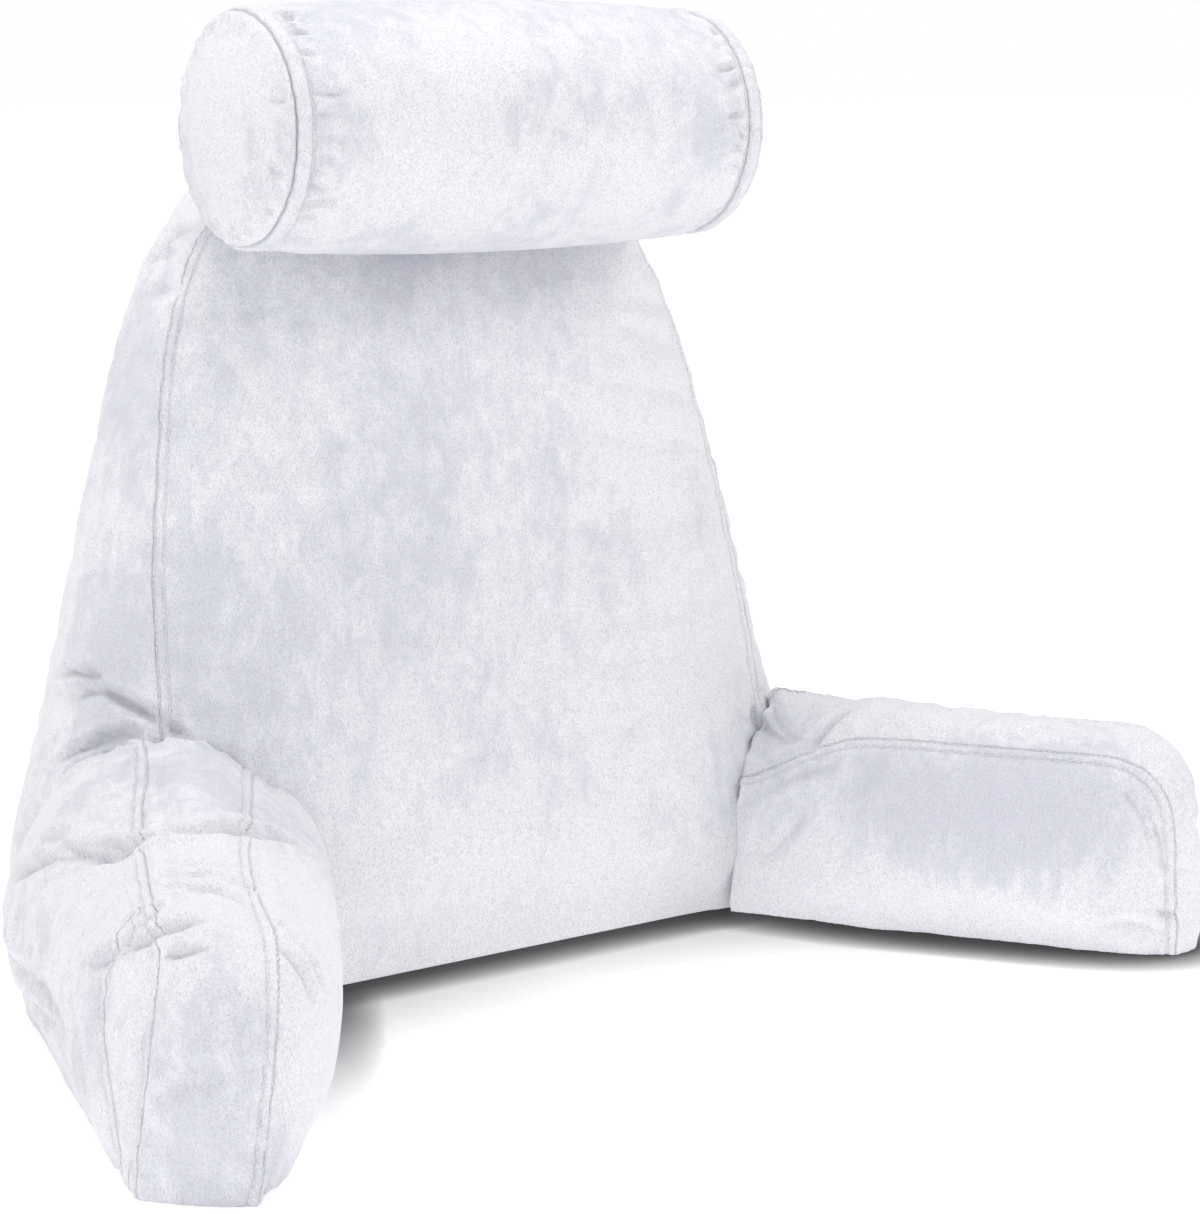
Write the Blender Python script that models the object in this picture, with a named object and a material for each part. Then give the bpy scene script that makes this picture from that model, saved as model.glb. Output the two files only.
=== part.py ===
# Reading pillow with arms and a neck roll, in plush cloth.
# Metres. X runs along the width, the front faces -Y, Z is up and the floor is z = 0.
# The back cushion, the two arms and the roll are filled cushions with sewn edges.
# Each cushion is a set of closed rings: front panel, sewn edge, side strip, sewn edge, back panel.

import math

import bpy
import numpy as np

# ---- overall sizes ----
CENTRE = (-0.004, 0.042, 0.0)   # moves the whole pillow, so that the origin is under its middle
SEAT_GAP = 0.0004               # free space between pieces that press on each other
EDGE_LIFT = 0.009               # rounding of the bottom edges

# ---- back cushion ----
BACK_TOP = 0.600            # top of the front panel
BACK_SHOULDER = 0.400       # height where the shoulders start to curve in
BACK_ROUNDNESS = 2.7        # 2 is an ellipse, more is squarer
BACK_MIDDLE = 0.300         # height of the panels' fullest point
BACK_CROWN = 0.030          # swell of the front panel
BACK_REAR_CROWN = 0.024
BACK_FULLNESS = 0.80        # less is squarer at the edges
BACK_WIDEST = 0.42          # where the side strip is widest, as a share of its depth
BACK_STRIP_SHAPE = 0.8      # less is squarer near the seams
SIDE_RISE = 0.014           # the side strip's top stands above the front seam
REAR_DROP = 0.014           # the rear seam's top lies below the front seam's

# Rows of the back cushion, from the floor up.
# z: height. front, side, rear: half widths at the front seam, at the fullest of the side, at the rear seam.
# front_y, rear_y: how far back the two seams lie.
BACK_COLUMNS = ("z", "front", "side", "rear", "front_y", "rear_y")
BACK_ROWS = (
    (0.00, 0.262, 0.328, 0.290, 0.000, 0.205),
    (0.08, 0.261, 0.334, 0.282, 0.013, 0.211),
    (0.20, 0.259, 0.296, 0.250, 0.035, 0.216),
    (0.30, 0.252, 0.269, 0.219, 0.057, 0.219),
    (0.40, 0.236, 0.241, 0.188, 0.075, 0.221),
    (0.50, 0.220, 0.213, 0.158, 0.096, 0.221),
    (0.60, 0.208, 0.188, 0.132, 0.112, 0.219),
)

# ---- arms ----
# Lines along each arm. x and y are given for a right arm, and x is mirrored for a left arm.
# side, line, (x, y, z) inside the back cushion, (x, y, z) at the front
ARM_ROWS = (
    ("left", "inner_floor", (0.116, 0.130, 0.000), (0.386, -0.321, 0.000)),
    ("left", "outer_floor", (0.334, 0.130, 0.000), (0.444, -0.266, 0.000)),
    ("left", "inner_top", (0.138, 0.130, 0.170), (0.371, -0.326, 0.147)),
    ("left", "outer_top", (0.228, 0.130, 0.206), (0.426, -0.277, 0.152)),
    ("right", "inner_floor", (0.118, 0.130, 0.000), (0.398, -0.286, 0.000)),
    ("right", "outer_floor", (0.322, 0.130, 0.000), (0.449, -0.238, 0.000)),
    ("right", "inner_top", (0.142, 0.130, 0.140), (0.388, -0.284, 0.149)),
    ("right", "outer_top", (0.215, 0.130, 0.152), (0.438, -0.240, 0.162)),
)
ARM_SIGN = {"left": -1.0, "right": 1.0}
ARM_DIP = {"left": 0.0, "right": 0.30}     # how far the inner seam drops towards the back cushion
ARM_CORNER = 0.052          # radius of the top front corner
ARM_CROWN = 0.018           # swell of the top strip
ARM_INNER_SWELL = {"left": 0.042, "right": 0.026}   # swell of the panel that faces the seat
ARM_OUTER_SWELL = {"left": 0.034, "right": 0.028}
ARM_FLATTER = {"left": 0.45, "right": 0.0}      # share of that swell lost towards the floor
ARM_FLATTER_RISE = (0.10, 0.60)     # shares of the panel's height between which the loss ends
ARM_INNER_FULLNESS = 0.45
ARM_OUTER_FULLNESS = 0.70
ARM_TUCK = 0.024            # how far the outer panel is drawn in where it is sewn to the back cushion
ARM_TUCK_REACH = {"left": 0.12, "right": 0.25}   # share of the arm's length over which it is drawn in
ARM_SHOULDER = {"left": 0.025, "right": 0.0}     # more swell of the outer panel near the back cushion
ARM_SHOULDER_RISE = (0.05, 0.45)     # shares of the panel's height between which it sets in
ARM_SHOULDER_START = (0.0, 0.12)     # shares of the arm's length between which it sets in
ARM_SHOULDER_END = (0.30, 0.60)      # and between which it ends
# shares of the arm's length between which the inner panel's swell sets in
ARM_SWELL_START = {"left": (0.0, 0.32), "right": (0.26, 0.56)}
ARM_DIP_END = (0.32, 0.48)       # shares between which the inner seam's drop ends

# ---- neck roll ----
ROLL_RADIUS = 0.080         # at the end seams
ROLL_SWELL = 0.007          # fuller in the middle
ROLL_HALF = 0.192           # from the middle to an end seam
ROLL_END_CROWN = 0.017      # swell of the end discs
ROLL_END_SHAPE = 2.4        # more is a flatter disc with a rounder edge
ROLL_Y = 0.032
ROLL_Z = 0.5995
ROLL_CLEARANCE = 0.0011     # free space between the roll's bands and its seat

# ---- sewn bands ----
SEAM_WIDTH = 0.0075         # topstitched edge of the cushions
SEAM_HEIGHT = 0.0016
SEAM_GROOVE = 0.0014
BAND_WIDTH = 0.011          # band around each end of the roll
BAND_HEIGHT = 0.0018
BAND_SINK = 0.0035          # depth of the channel that the band is sewn into
BAND_SIDE_GAP = 0.0004      # free space on each side of the band in its channel
CHANNEL_SLANT = 0.0010      # the channel's walls lean by this much

# ---- how fine the surfaces are ----
BACK_FLOOR_COUNT = 15       # points along the back cushion's bottom edge
BACK_SIDE_COUNT = 37        # points from the floor to the middle of the top
BACK_PANEL_SHARES = (0.16, 0.34, 0.52, 0.68, 0.82, 0.92)    # rings of a panel, from its middle out
BACK_STRIP_SHARES = (0.15, 0.28, 0.42, 0.58, 0.73, 0.87)    # rings of the side strip, front to rear
ARM_PANEL_SHARES = (0.22, 0.42, 0.60, 0.74, 0.84, 0.91)
ARM_STRIP_SHARES = (0.26, 0.42, 0.58, 0.74)
ARM_LENGTH_COUNT = 12       # points along an arm's bottom and top edges
ARM_FRONT_COUNT = 7
ARM_CORNER_COUNT = 6
ARM_ROOT_COUNT = 6
ROLL_DISC_SHARES = (0.30, 0.55, 0.76, 0.90)
ROLL_BARREL_COUNT = 7
TURN_COUNT = 40             # points round the roll and its bands

PLUSH = (0.86, 0.86, 0.89)
PLUSH_SHADE = (0.83, 0.84, 0.87)
BAND_SHADE = (0.88, 0.88, 0.90)


def smooth_step(limits, value):
    low, high = limits
    share = np.clip((value - low) / (high - low), 0.0, 1.0)
    return share * share * (3.0 - 2.0 * share)


def between(a, b, share):
    return a + (b - a) * share


# Height of a stuffed panel, from 0 at its sewn edge to 1 at its middle. across and up run from
# -1 to 1 over the panel, and share is 1 on the edge itself.
def stuffed(across, up, share, fullness):
    hump = (1.0 - np.clip(np.abs(across), 0.0, 1.0) ** 3) * (1.0 - np.clip(np.abs(up), 0.0, 1.0) ** 3)
    return hump**fullness * (1.0 - share**10)


# One smooth curve through rows of values, each interval eased by its neighbours' slopes.
def smooth_row(heights, values, height):
    slopes = np.gradient(values, heights)
    index = int(np.clip(np.searchsorted(heights, height) - 1, 0, len(heights) - 2))
    step = heights[index + 1] - heights[index]
    t = (height - heights[index]) / step
    start, end = values[index], values[index + 1]
    out, into = slopes[index] * step, slopes[index + 1] * step
    cubic = (2 * t**3 - 3 * t**2 + 1) * start + (t**3 - 2 * t**2 + t) * out
    return cubic + (3 * t**2 - 2 * t**3) * end + (t**3 - t**2) * into


def back_value(column, height):
    heights = np.array([row[0] for row in BACK_ROWS])
    values = np.array([row[BACK_COLUMNS.index(column)] for row in BACK_ROWS])
    return smooth_row(heights, values, height)


def even_points(points, count):
    steps = np.linalg.norm(np.diff(points, axis=0), axis=1)
    run = np.concatenate(([0.0], np.cumsum(steps)))
    wanted = np.linspace(0.0, run[-1], count)
    return np.stack([np.interp(wanted, run, points[:, axis]) for axis in range(points.shape[1])], axis=1)


# Outline of the back cushion at one of its three widths, as (x, z) pairs: along the floor,
# up one side, over the arched top and down the other side.
def back_outline(column, top):
    fine = 80
    side = []
    for step in range(fine + 1):
        height = BACK_SHOULDER * step / fine
        side.append((back_value(column, height), height))
    for step in range(1, fine + 1):
        turn = 0.5 * math.pi * step / fine
        out = max(math.cos(turn), 0.0) ** (2.0 / BACK_ROUNDNESS)
        up = math.sin(turn) ** (2.0 / BACK_ROUNDNESS)
        height = BACK_SHOULDER + (top - BACK_SHOULDER) * up
        side.append((back_value(column, min(height, BACK_TOP)) * out, height))
    side = even_points(np.array(side), BACK_SIDE_COUNT)
    corner = side[0][0]
    floor = np.stack([np.linspace(-corner, corner, BACK_FLOOR_COUNT), np.zeros(BACK_FLOOR_COUNT)], axis=1)
    mirrored = side[::-1] * (-1.0, 1.0)
    return np.concatenate((floor[1:], side[1:], mirrored[1:]))


# Closed mesh from a first pole, rings of equal length and a last pole.
def ring_mesh(name, first, rings, last):
    count = len(rings[0])
    points = [tuple(first)]
    for ring in rings:
        points += [tuple(point) for point in ring]
    points.append(tuple(last))
    faces = []
    for i in range(count):
        faces.append((0, 1 + i, 1 + (i + 1) % count))
    for level in range(len(rings) - 1):
        low = 1 + level * count
        high = low + count
        for i in range(count):
            j = (i + 1) % count
            faces.append((low + i, high + i, high + j))
            faces.append((low + i, high + j, low + j))
    base = 1 + (len(rings) - 1) * count
    for i in range(count):
        faces.append((base + (i + 1) % count, base + i, len(points) - 1))
    mesh = bpy.data.meshes.new(name)
    mesh.from_pydata(points, [], faces)
    mesh.update()
    return mesh


def mesh_points(mesh):
    points = np.zeros(len(mesh.vertices) * 3)
    mesh.vertices.foreach_get("co", points)
    return points.reshape(-1, 3)


def mesh_normals(mesh):
    normals = np.zeros(len(mesh.vertices) * 3)
    mesh.vertices.foreach_get("normal", normals)
    return normals.reshape(-1, 3)


def store_points(mesh, points):
    mesh.vertices.foreach_set("co", points.ravel())
    mesh.update()


def signed_volume(mesh):
    mesh.calc_loop_triangles()
    points = mesh_points(mesh)
    corners = np.array([triangle.vertices[:] for triangle in mesh.loop_triangles])
    a, b, c = points[corners[:, 0]], points[corners[:, 1]], points[corners[:, 2]]
    return float(np.einsum("ij,ij->i", a, np.cross(b, c)).sum() / 6.0)


def face_outwards(mesh):
    if signed_volume(mesh) < 0.0:
        mesh.flip_normals()
        mesh.update()


# Insets of the rings beside a sewn edge, with the height of the cloth there.
def seam_profile():
    half = SEAM_WIDTH / 2
    return ((2.6 * half, 0.0), (1.7 * half, -SEAM_GROOVE), (0.9 * half, SEAM_HEIGHT))


# Raises or sinks the rings beside the seams, along the surface normal.
def raise_rings(mesh, heights):
    points = mesh_points(mesh)
    normals = mesh_normals(mesh)
    lifted = points + normals * np.array(heights)[:, None]
    on_floor = points[:, 2] < 1e-6
    lifted[on_floor] = points[on_floor]
    lifted[:, 2] = np.maximum(lifted[:, 2], 0.0)
    store_points(mesh, lifted)


# A fold is a soft trough or ridge along a bent line: start, middle and end points of the line,
# its half width and its height, which is negative for a trough. The cloth moves square to the
# surface at the fold's middle.
FOLD_COLUMNS = ("piece", "start", "middle", "end", "half_width", "height")
FOLD_ROWS = (
    ("back_cushion", (-0.264, 0.050, 0.238), (-0.296, 0.075, 0.232), (-0.312, 0.120, 0.205), 0.011, -0.007),
    ("back_cushion", (-0.262, 0.045, 0.216), (-0.296, 0.070, 0.205), (-0.318, 0.110, 0.180), 0.011, 0.005),
    ("back_cushion", (0.264, 0.050, 0.238), (0.296, 0.075, 0.232), (0.312, 0.120, 0.205), 0.011, -0.007),
    ("back_cushion", (-0.180, 0.105, 0.566), (-0.196, 0.130, 0.552), (-0.190, 0.160, 0.540), 0.010, -0.006),
    ("arm_left", (-0.395, -0.080, 0.150), (-0.335, -0.104, 0.182), (-0.245, -0.160, 0.150), 0.012, -0.005),
    ("arm_left", (-0.345, -0.112, 0.180), (-0.400, -0.130, 0.160), (-0.450, -0.190, 0.110), 0.012, -0.005),
    ("arm_left", (-0.380, -0.232, 0.170), (-0.420, -0.238, 0.162), (-0.462, -0.246, 0.120), 0.011, -0.005),
    ("arm_right", (0.250, -0.058, 0.150), (0.270, -0.040, 0.170), (0.300, -0.020, 0.170), 0.012, -0.005),
)


def bent_line(start, middle, end, share):
    pull = 2.0 * middle - 0.5 * (start + end)
    return (1.0 - share) ** 2 * start + 2.0 * share * (1.0 - share) * pull + share**2 * end


def fold_piece(mesh, piece):
    points = mesh_points(mesh)
    normals = mesh_normals(mesh)
    moved = points.copy()
    for row in FOLD_ROWS:
        fold = dict(zip(FOLD_COLUMNS, row))
        if fold["piece"] != piece:
            continue
        start, middle, end = (np.array(fold[key]) for key in ("start", "middle", "end"))
        shares = np.linspace(0.0, 1.0, 25)
        spots = np.array([bent_line(start, middle, end, share) for share in shares])
        distances = np.linalg.norm(points[:, None, :] - spots[None, :, :], axis=2)
        nearest = distances.min(axis=1)
        taper = np.sin(math.pi * shares[distances.argmin(axis=1)])
        direction = normals[np.linalg.norm(points - middle, axis=1).argmin()]
        depth = fold["height"] * taper * np.exp(-((nearest / fold["half_width"]) ** 2))
        moved += depth[:, None] * direction
    on_floor = points[:, 2] < 1e-6
    moved[on_floor] = points[on_floor]
    store_points(mesh, moved)


def plush(name, colour):
    material = bpy.data.materials.new(name)
    material.use_nodes = True
    shader = material.node_tree.nodes["Principled BSDF"]
    shader.inputs["Base Color"].default_value = (*colour, 1.0)
    shader.inputs["Roughness"].default_value = 0.9
    shader.inputs["Metallic"].default_value = 0.0
    shader.inputs["Sheen Weight"].default_value = 0.4
    return material


def add_piece(name, mesh, parent, colour):
    store_points(mesh, mesh_points(mesh) + CENTRE)
    mesh.shade_smooth()
    piece = bpy.data.objects.new(name, mesh)
    bpy.context.scene.collection.objects.link(piece)
    piece.data.materials.append(plush(name + "_plush", colour))
    piece.parent = parent
    return piece


# Half width of the roll at a place along its length.
def roll_radius(x):
    share = min(abs(x) / ROLL_HALF, 1.0)
    return ROLL_RADIUS + ROLL_SWELL * (1.0 - share**2)


# Presses the back cushion's front clear of the neck roll, which leaves a shallow seat for it.
def press_seat(points):
    for index, (x, y, z) in enumerate(points):
        away_y, away_z = y - ROLL_Y, z - ROLL_Z
        distance = math.hypot(away_y, away_z)
        end = max(abs(x) - ROLL_HALF, 0.0)
        wanted = roll_radius(x) + BAND_HEIGHT + ROLL_CLEARANCE
        if end:
            wanted *= math.sqrt(max(1.0 - (end / ROLL_END_CROWN) ** 2, 0.0))
        if distance < wanted and away_y > 0.0:
            points[index, 1] = ROLL_Y + away_y / distance * wanted
            points[index, 2] = ROLL_Z + away_z / distance * wanted


# The back cushion, with its whole surface moved out by extra.
def back_mesh(name, extra):
    front = back_outline("front", BACK_TOP)
    side = back_outline("side", BACK_TOP + SIDE_RISE)
    rear = back_outline("rear", BACK_TOP - REAR_DROP)
    on_floor = front[:, 1] < 1e-9
    seam_share = np.where(on_floor, 0.0, 1.0)

    def lay(flat, depth):
        return np.stack([flat[:, 0], depth, flat[:, 1]], axis=1)

    def depth_at(column, flat):
        return np.array([back_value(column, min(height, BACK_TOP)) for height in flat[:, 1]])

    def panel_ring(panel, outline, share, crown):
        flat = np.array([0.0, BACK_MIDDLE]) + (outline - (0.0, BACK_MIDDLE)) * share[:, None]
        flat[:, 1] = np.maximum(flat[:, 1], EDGE_LIFT)
        widths = np.array([back_value(panel, min(height, BACK_TOP)) for height in flat[:, 1]])
        up = 2.0 * flat[:, 1] / BACK_TOP - 1.0
        swell = crown * stuffed(flat[:, 0] / widths, up, share, BACK_FULLNESS)
        return lay(flat, depth_at(panel + "_y", flat) + swell)

    def edge_share(outline, inset):
        return 1.0 - inset / np.linalg.norm(outline - (0.0, BACK_MIDDLE), axis=1)

    rings, heights = [], [0.0]

    def keep(ring, height):
        rings.append(ring)
        heights.extend(height * seam_share)

    for share in BACK_PANEL_SHARES:
        keep(panel_ring("front", front, np.full(len(front), share), -BACK_CROWN), 0.0)
    for inset, height in seam_profile():
        keep(panel_ring("front", front, edge_share(front, inset), -BACK_CROWN), height)
    front_y = depth_at("front_y", front)
    rear_y = depth_at("rear_y", rear)

    # side strip: from the front seam over its fullest line to the rear seam
    def strip_ring(share):
        before = np.clip(share / BACK_WIDEST, 0.0, 1.0)
        after = np.clip((share - BACK_WIDEST) / (1.0 - BACK_WIDEST), 0.0, 1.0)
        rise = np.sin(0.5 * math.pi * before) ** BACK_STRIP_SHAPE
        fall = np.cos(0.5 * math.pi * after) ** BACK_STRIP_SHAPE
        first = between(front, side, rise[:, None])
        last = between(rear, side, fall[:, None])
        flat = np.where((share < BACK_WIDEST)[:, None], first, last)
        depth = between(front_y, rear_y, share)
        return lay(flat, depth)

    depth_span = rear_y - front_y
    for inset, height in seam_profile()[::-1]:
        keep(strip_ring(inset / depth_span), height)
    for share in BACK_STRIP_SHARES:
        keep(strip_ring(np.full(len(front), share)), 0.0)
    for inset, height in seam_profile():
        keep(strip_ring(1.0 - inset / depth_span), height)
    for inset, height in seam_profile()[::-1]:
        keep(panel_ring("rear", rear, edge_share(rear, inset), BACK_REAR_CROWN), height)
    for share in BACK_PANEL_SHARES[::-1]:
        keep(panel_ring("rear", rear, np.full(len(rear), share), BACK_REAR_CROWN), 0.0)
    heights.append(0.0)

    first = (0.0, back_value("front_y", BACK_MIDDLE) - BACK_CROWN, BACK_MIDDLE)
    last = (0.0, back_value("rear_y", BACK_MIDDLE) + BACK_REAR_CROWN, BACK_MIDDLE)
    mesh = ring_mesh(name, first, rings, last)
    face_outwards(mesh)
    raise_rings(mesh, heights)
    fold_piece(mesh, "back_cushion")
    points = mesh_points(mesh)
    press_seat(points)
    store_points(mesh, points)
    if extra:
        store_points(mesh, points + mesh_normals(mesh) * extra)
    return mesh


def arm_line(side, level):
    row = next(row for row in ARM_ROWS if row[0] == side and row[1] == level)
    start, end = np.array(row[2]), np.array(row[3])
    turn = np.array((ARM_SIGN[side], 1.0, 1.0))
    return start * turn, end * turn


# Outline of an arm's panel as (along, up) shares: along the floor to the front, up, round the
# corner, back along the top and down inside the back cushion.
def arm_outline(length, height):
    corner_along = ARM_CORNER / length
    corner_up = ARM_CORNER / height
    floor = [(share, 0.0) for share in np.linspace(0.0, 1.0, ARM_LENGTH_COUNT)]
    front = [(1.0, share) for share in np.linspace(0.0, 1.0 - corner_up, ARM_FRONT_COUNT)[1:]]
    corner = []
    for step in range(1, ARM_CORNER_COUNT + 1):
        turn = 0.5 * math.pi * step / ARM_CORNER_COUNT
        along = 1.0 - corner_along * (1.0 - math.cos(turn))
        corner.append((along, 1.0 - corner_up * (1.0 - math.sin(turn))))
    top = [(share, 1.0) for share in np.linspace(1.0 - corner_along, 0.0, ARM_LENGTH_COUNT)[1:]]
    root = [(0.0, share) for share in np.linspace(1.0, 0.0, ARM_ROOT_COUNT)[1:-1]]
    return np.array(floor + front + corner + top + root)


def arm_mesh(name, side):
    lines = {row[1]: arm_line(side, row[1]) for row in ARM_ROWS if row[0] == side}
    length = np.linalg.norm(lines["inner_floor"][1] - lines["inner_floor"][0])
    height = lines["inner_top"][1][2]
    outline = arm_outline(length, height)
    middle = np.array((0.5, 0.5))
    up = np.array((0.0, 0.0, 1.0))
    on_floor = outline[:, 1] < 1e-9
    at_root = outline[:, 0] < 1e-9
    seam_share = np.where(on_floor | at_root, 0.0, 1.0)

    def on_panel(face, flat):
        low_start, low_end = lines[face + "_floor"]
        high_start, high_end = lines[face + "_top"]
        along, rise = flat[:, :1], flat[:, 1:]
        if face == "inner":
            rise = rise * (1.0 - ARM_DIP[side] * (1.0 - smooth_step(ARM_DIP_END, along)))
        low = between(low_start, low_end, along)
        high = between(high_start, high_end, along)
        return between(low, high, rise)

    def outward(face):
        low_start, low_end = lines[face + "_floor"]
        direction = (low_end - low_start) / np.linalg.norm(low_end - low_start)
        normal = np.cross(direction, up)
        inner_side = lines["inner_floor"][0] - lines["outer_floor"][0]
        if np.dot(normal, inner_side) < 0.0:
            normal = -normal
        return normal if face == "inner" else -normal

    def shoulder(along, rise):
        up_down = np.clip(np.abs(2.0 * rise - 1.0), 0.0, 1.0)
        swell = ARM_SHOULDER[side] * (1.0 - up_down**4) ** 0.6 * smooth_step(ARM_SHOULDER_RISE, rise)
        return swell * smooth_step(ARM_SHOULDER_START, along) * (1.0 - smooth_step(ARM_SHOULDER_END, along))

    def panel_ring(face, share):
        flat = middle + (outline - middle) * share[:, None]
        points = on_panel(face, flat)
        across, rise = 2.0 * flat[:, 0] - 1.0, 2.0 * flat[:, 1] - 1.0
        if face == "inner":
            swell = ARM_INNER_SWELL[side] * stuffed(across, rise, share, ARM_INNER_FULLNESS)
            swell *= smooth_step(ARM_SWELL_START[side], flat[:, 0])
        else:
            swell = ARM_OUTER_SWELL[side] * stuffed(across, rise, share, ARM_OUTER_FULLNESS)
            swell *= 1.0 - ARM_FLATTER[side] * (1.0 - smooth_step(ARM_FLATTER_RISE, flat[:, 1]))
            swell += shoulder(flat[:, 0], flat[:, 1])
            swell -= ARM_TUCK * (1.0 - smooth_step((0.0, ARM_TUCK_REACH[side]), flat[:, 0]))
        points = points + outward(face) * swell[:, None]
        points[:, 2] = np.maximum(points[:, 2], EDGE_LIFT)
        return points

    def edge_share(inset):
        reach = (outline - middle) * (length, height)
        return 1.0 - inset / np.linalg.norm(reach, axis=1)

    inner_edge = panel_ring("inner", np.ones(len(outline)))
    outer_edge = panel_ring("outer", np.ones(len(outline)))
    inner_edge[on_floor, 2] = 0.0
    outer_edge[on_floor, 2] = 0.0
    strip_width = np.linalg.norm(outer_edge - inner_edge, axis=1)
    centre = on_panel("inner", np.array([[0.5, 0.5]]))[0]
    strip_out = inner_edge + outer_edge - 2.0 * centre
    strip_out = strip_out - np.outer(strip_out @ outward("inner"), outward("inner"))
    strip_out = strip_out / np.linalg.norm(strip_out, axis=1)[:, None]

    def strip_ring(share):
        points = between(inner_edge, outer_edge, share[:, None])
        swell = ARM_CROWN * np.sin(math.pi * share) * np.where(on_floor | at_root, 0.0, 1.0)
        points = points + strip_out * swell[:, None]
        points[:, 2] = np.maximum(points[:, 2], 0.0)
        return points

    rings, heights = [], [0.0]

    def keep(ring, ring_height):
        rings.append(ring)
        heights.extend(ring_height * seam_share)

    count = len(outline)
    for share in ARM_PANEL_SHARES:
        keep(panel_ring("inner", np.full(count, share)), 0.0)
    for inset, ring_height in seam_profile():
        keep(panel_ring("inner", edge_share(inset)), ring_height)
    for inset, ring_height in seam_profile()[::-1]:
        keep(strip_ring(inset / strip_width), ring_height)
    for share in ARM_STRIP_SHARES:
        keep(strip_ring(np.full(count, share)), 0.0)
    for inset, ring_height in seam_profile():
        keep(strip_ring(1.0 - inset / strip_width), ring_height)
    for inset, ring_height in seam_profile()[::-1]:
        keep(panel_ring("outer", edge_share(inset)), ring_height)
    for share in ARM_PANEL_SHARES[::-1]:
        keep(panel_ring("outer", np.full(count, share)), 0.0)
    heights.append(0.0)

    first = panel_ring("inner", np.zeros(count))[0]
    last = panel_ring("outer", np.zeros(count))[0]
    mesh = ring_mesh(name, first, rings, last)
    face_outwards(mesh)
    raise_rings(mesh, heights)
    fold_piece(mesh, name)
    return mesh


# Turns a profile of (x, radius) pairs about the roll's axis.
def turned_rings(profile):
    rings = []
    for x, radius in profile:
        ring = []
        for step in range(TURN_COUNT):
            turn = 2.0 * math.pi * step / TURN_COUNT
            y = ROLL_Y + radius * math.cos(turn)
            z = ROLL_Z + radius * math.sin(turn)
            ring.append((x, y, z))
        rings.append(ring)
    return rings


def roll_mesh(name):
    disc = []
    for share in ROLL_DISC_SHARES:
        disc.append((ROLL_HALF + ROLL_END_CROWN * (1.0 - share**ROLL_END_SHAPE), ROLL_RADIUS * share))
    channel = [
        (ROLL_HALF + 1.5 * CHANNEL_SLANT, ROLL_RADIUS - 0.4 * BAND_SINK),
        (ROLL_HALF - CHANNEL_SLANT, ROLL_RADIUS - BAND_SINK),
        (ROLL_HALF - BAND_WIDTH + CHANNEL_SLANT, ROLL_RADIUS - BAND_SINK),
        (ROLL_HALF - BAND_WIDTH, ROLL_RADIUS),
    ]
    barrel = []
    inner = ROLL_HALF - 1.5 * BAND_WIDTH
    for x in np.linspace(inner, 0.0, ROLL_BARREL_COUNT):
        barrel.append((x, roll_radius(x)))
    right = disc + channel + barrel
    left = [(-x, radius) for x, radius in right[:-1]][::-1]
    rings = turned_rings(right + left)
    first = (ROLL_HALF + ROLL_END_CROWN, ROLL_Y, ROLL_Z)
    last = (-ROLL_HALF - ROLL_END_CROWN, ROLL_Y, ROLL_Z)
    mesh = ring_mesh(name, first, rings, last)
    face_outwards(mesh)
    return mesh


# The band sewn round one end of the roll: a flat ring with rounded edges.
def band_mesh(name, sign):
    inside = ROLL_RADIUS - BAND_SINK + SEAT_GAP
    outside = ROLL_RADIUS + BAND_HEIGHT
    near = ROLL_HALF - BAND_WIDTH + CHANNEL_SLANT + BAND_SIDE_GAP
    far = ROLL_HALF - CHANNEL_SLANT - BAND_SIDE_GAP
    edge_drop, edge_reach = 0.0012, 0.0020      # rounding of the band's edges
    profile = [
        (near, inside),
        (near, outside - edge_drop),
        (near + edge_reach, outside),
        (far - edge_reach, outside),
        (far, outside - edge_drop),
        (far, inside),
    ]
    rings = turned_rings([(sign * x, radius) for x, radius in profile])
    points = [point for ring in rings for point in ring]
    faces = []
    for level in range(len(rings)):
        low = level * TURN_COUNT
        high = (level + 1) % len(rings) * TURN_COUNT
        for i in range(TURN_COUNT):
            j = (i + 1) % TURN_COUNT
            faces.append((low + i, high + i, high + j))
            faces.append((low + i, high + j, low + j))
    mesh = bpy.data.meshes.new(name)
    mesh.from_pydata(points, [], faces)
    mesh.update()
    face_outwards(mesh)
    return mesh


# Cuts an arm's root to the back cushion's shape, with the free space between them.
def fit_to_back(arm, cutter):
    cut = arm.modifiers.new("fit", "BOOLEAN")
    cut.operation = "DIFFERENCE"
    cut.solver = "MANIFOLD"
    cut.object = cutter


def clear_scene():
    for item in list(bpy.data.objects):
        bpy.data.objects.remove(item, do_unlink=True)


def main():
    clear_scene()
    pillow = bpy.data.objects.new("reading_pillow", None)
    bpy.context.scene.collection.objects.link(pillow)
    add_piece("back_cushion", back_mesh("back_cushion", 0.0), pillow, PLUSH)
    cutter = add_piece("arm_root_cutter", back_mesh("arm_root_cutter", SEAT_GAP), pillow, PLUSH)
    cutter.hide_render = True
    cutter.display_type = "WIRE"
    for side in ("left", "right"):
        name = "arm_" + side
        arm = add_piece(name, arm_mesh(name, side), pillow, PLUSH_SHADE)
        fit_to_back(arm, cutter)
    add_piece("neck_roll", roll_mesh("neck_roll"), pillow, PLUSH)
    for side, sign in (("left", -1.0), ("right", 1.0)):
        name = "roll_band_" + side
        add_piece(name, band_mesh(name, sign), pillow, BAND_SHADE)


main()
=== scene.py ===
import math
from functools import partial

import bmesh
import bpy
import numpy as np
from mathutils import Matrix, Vector
from mathutils.bvhtree import BVHTree
from mathutils.kdtree import KDTree


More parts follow.
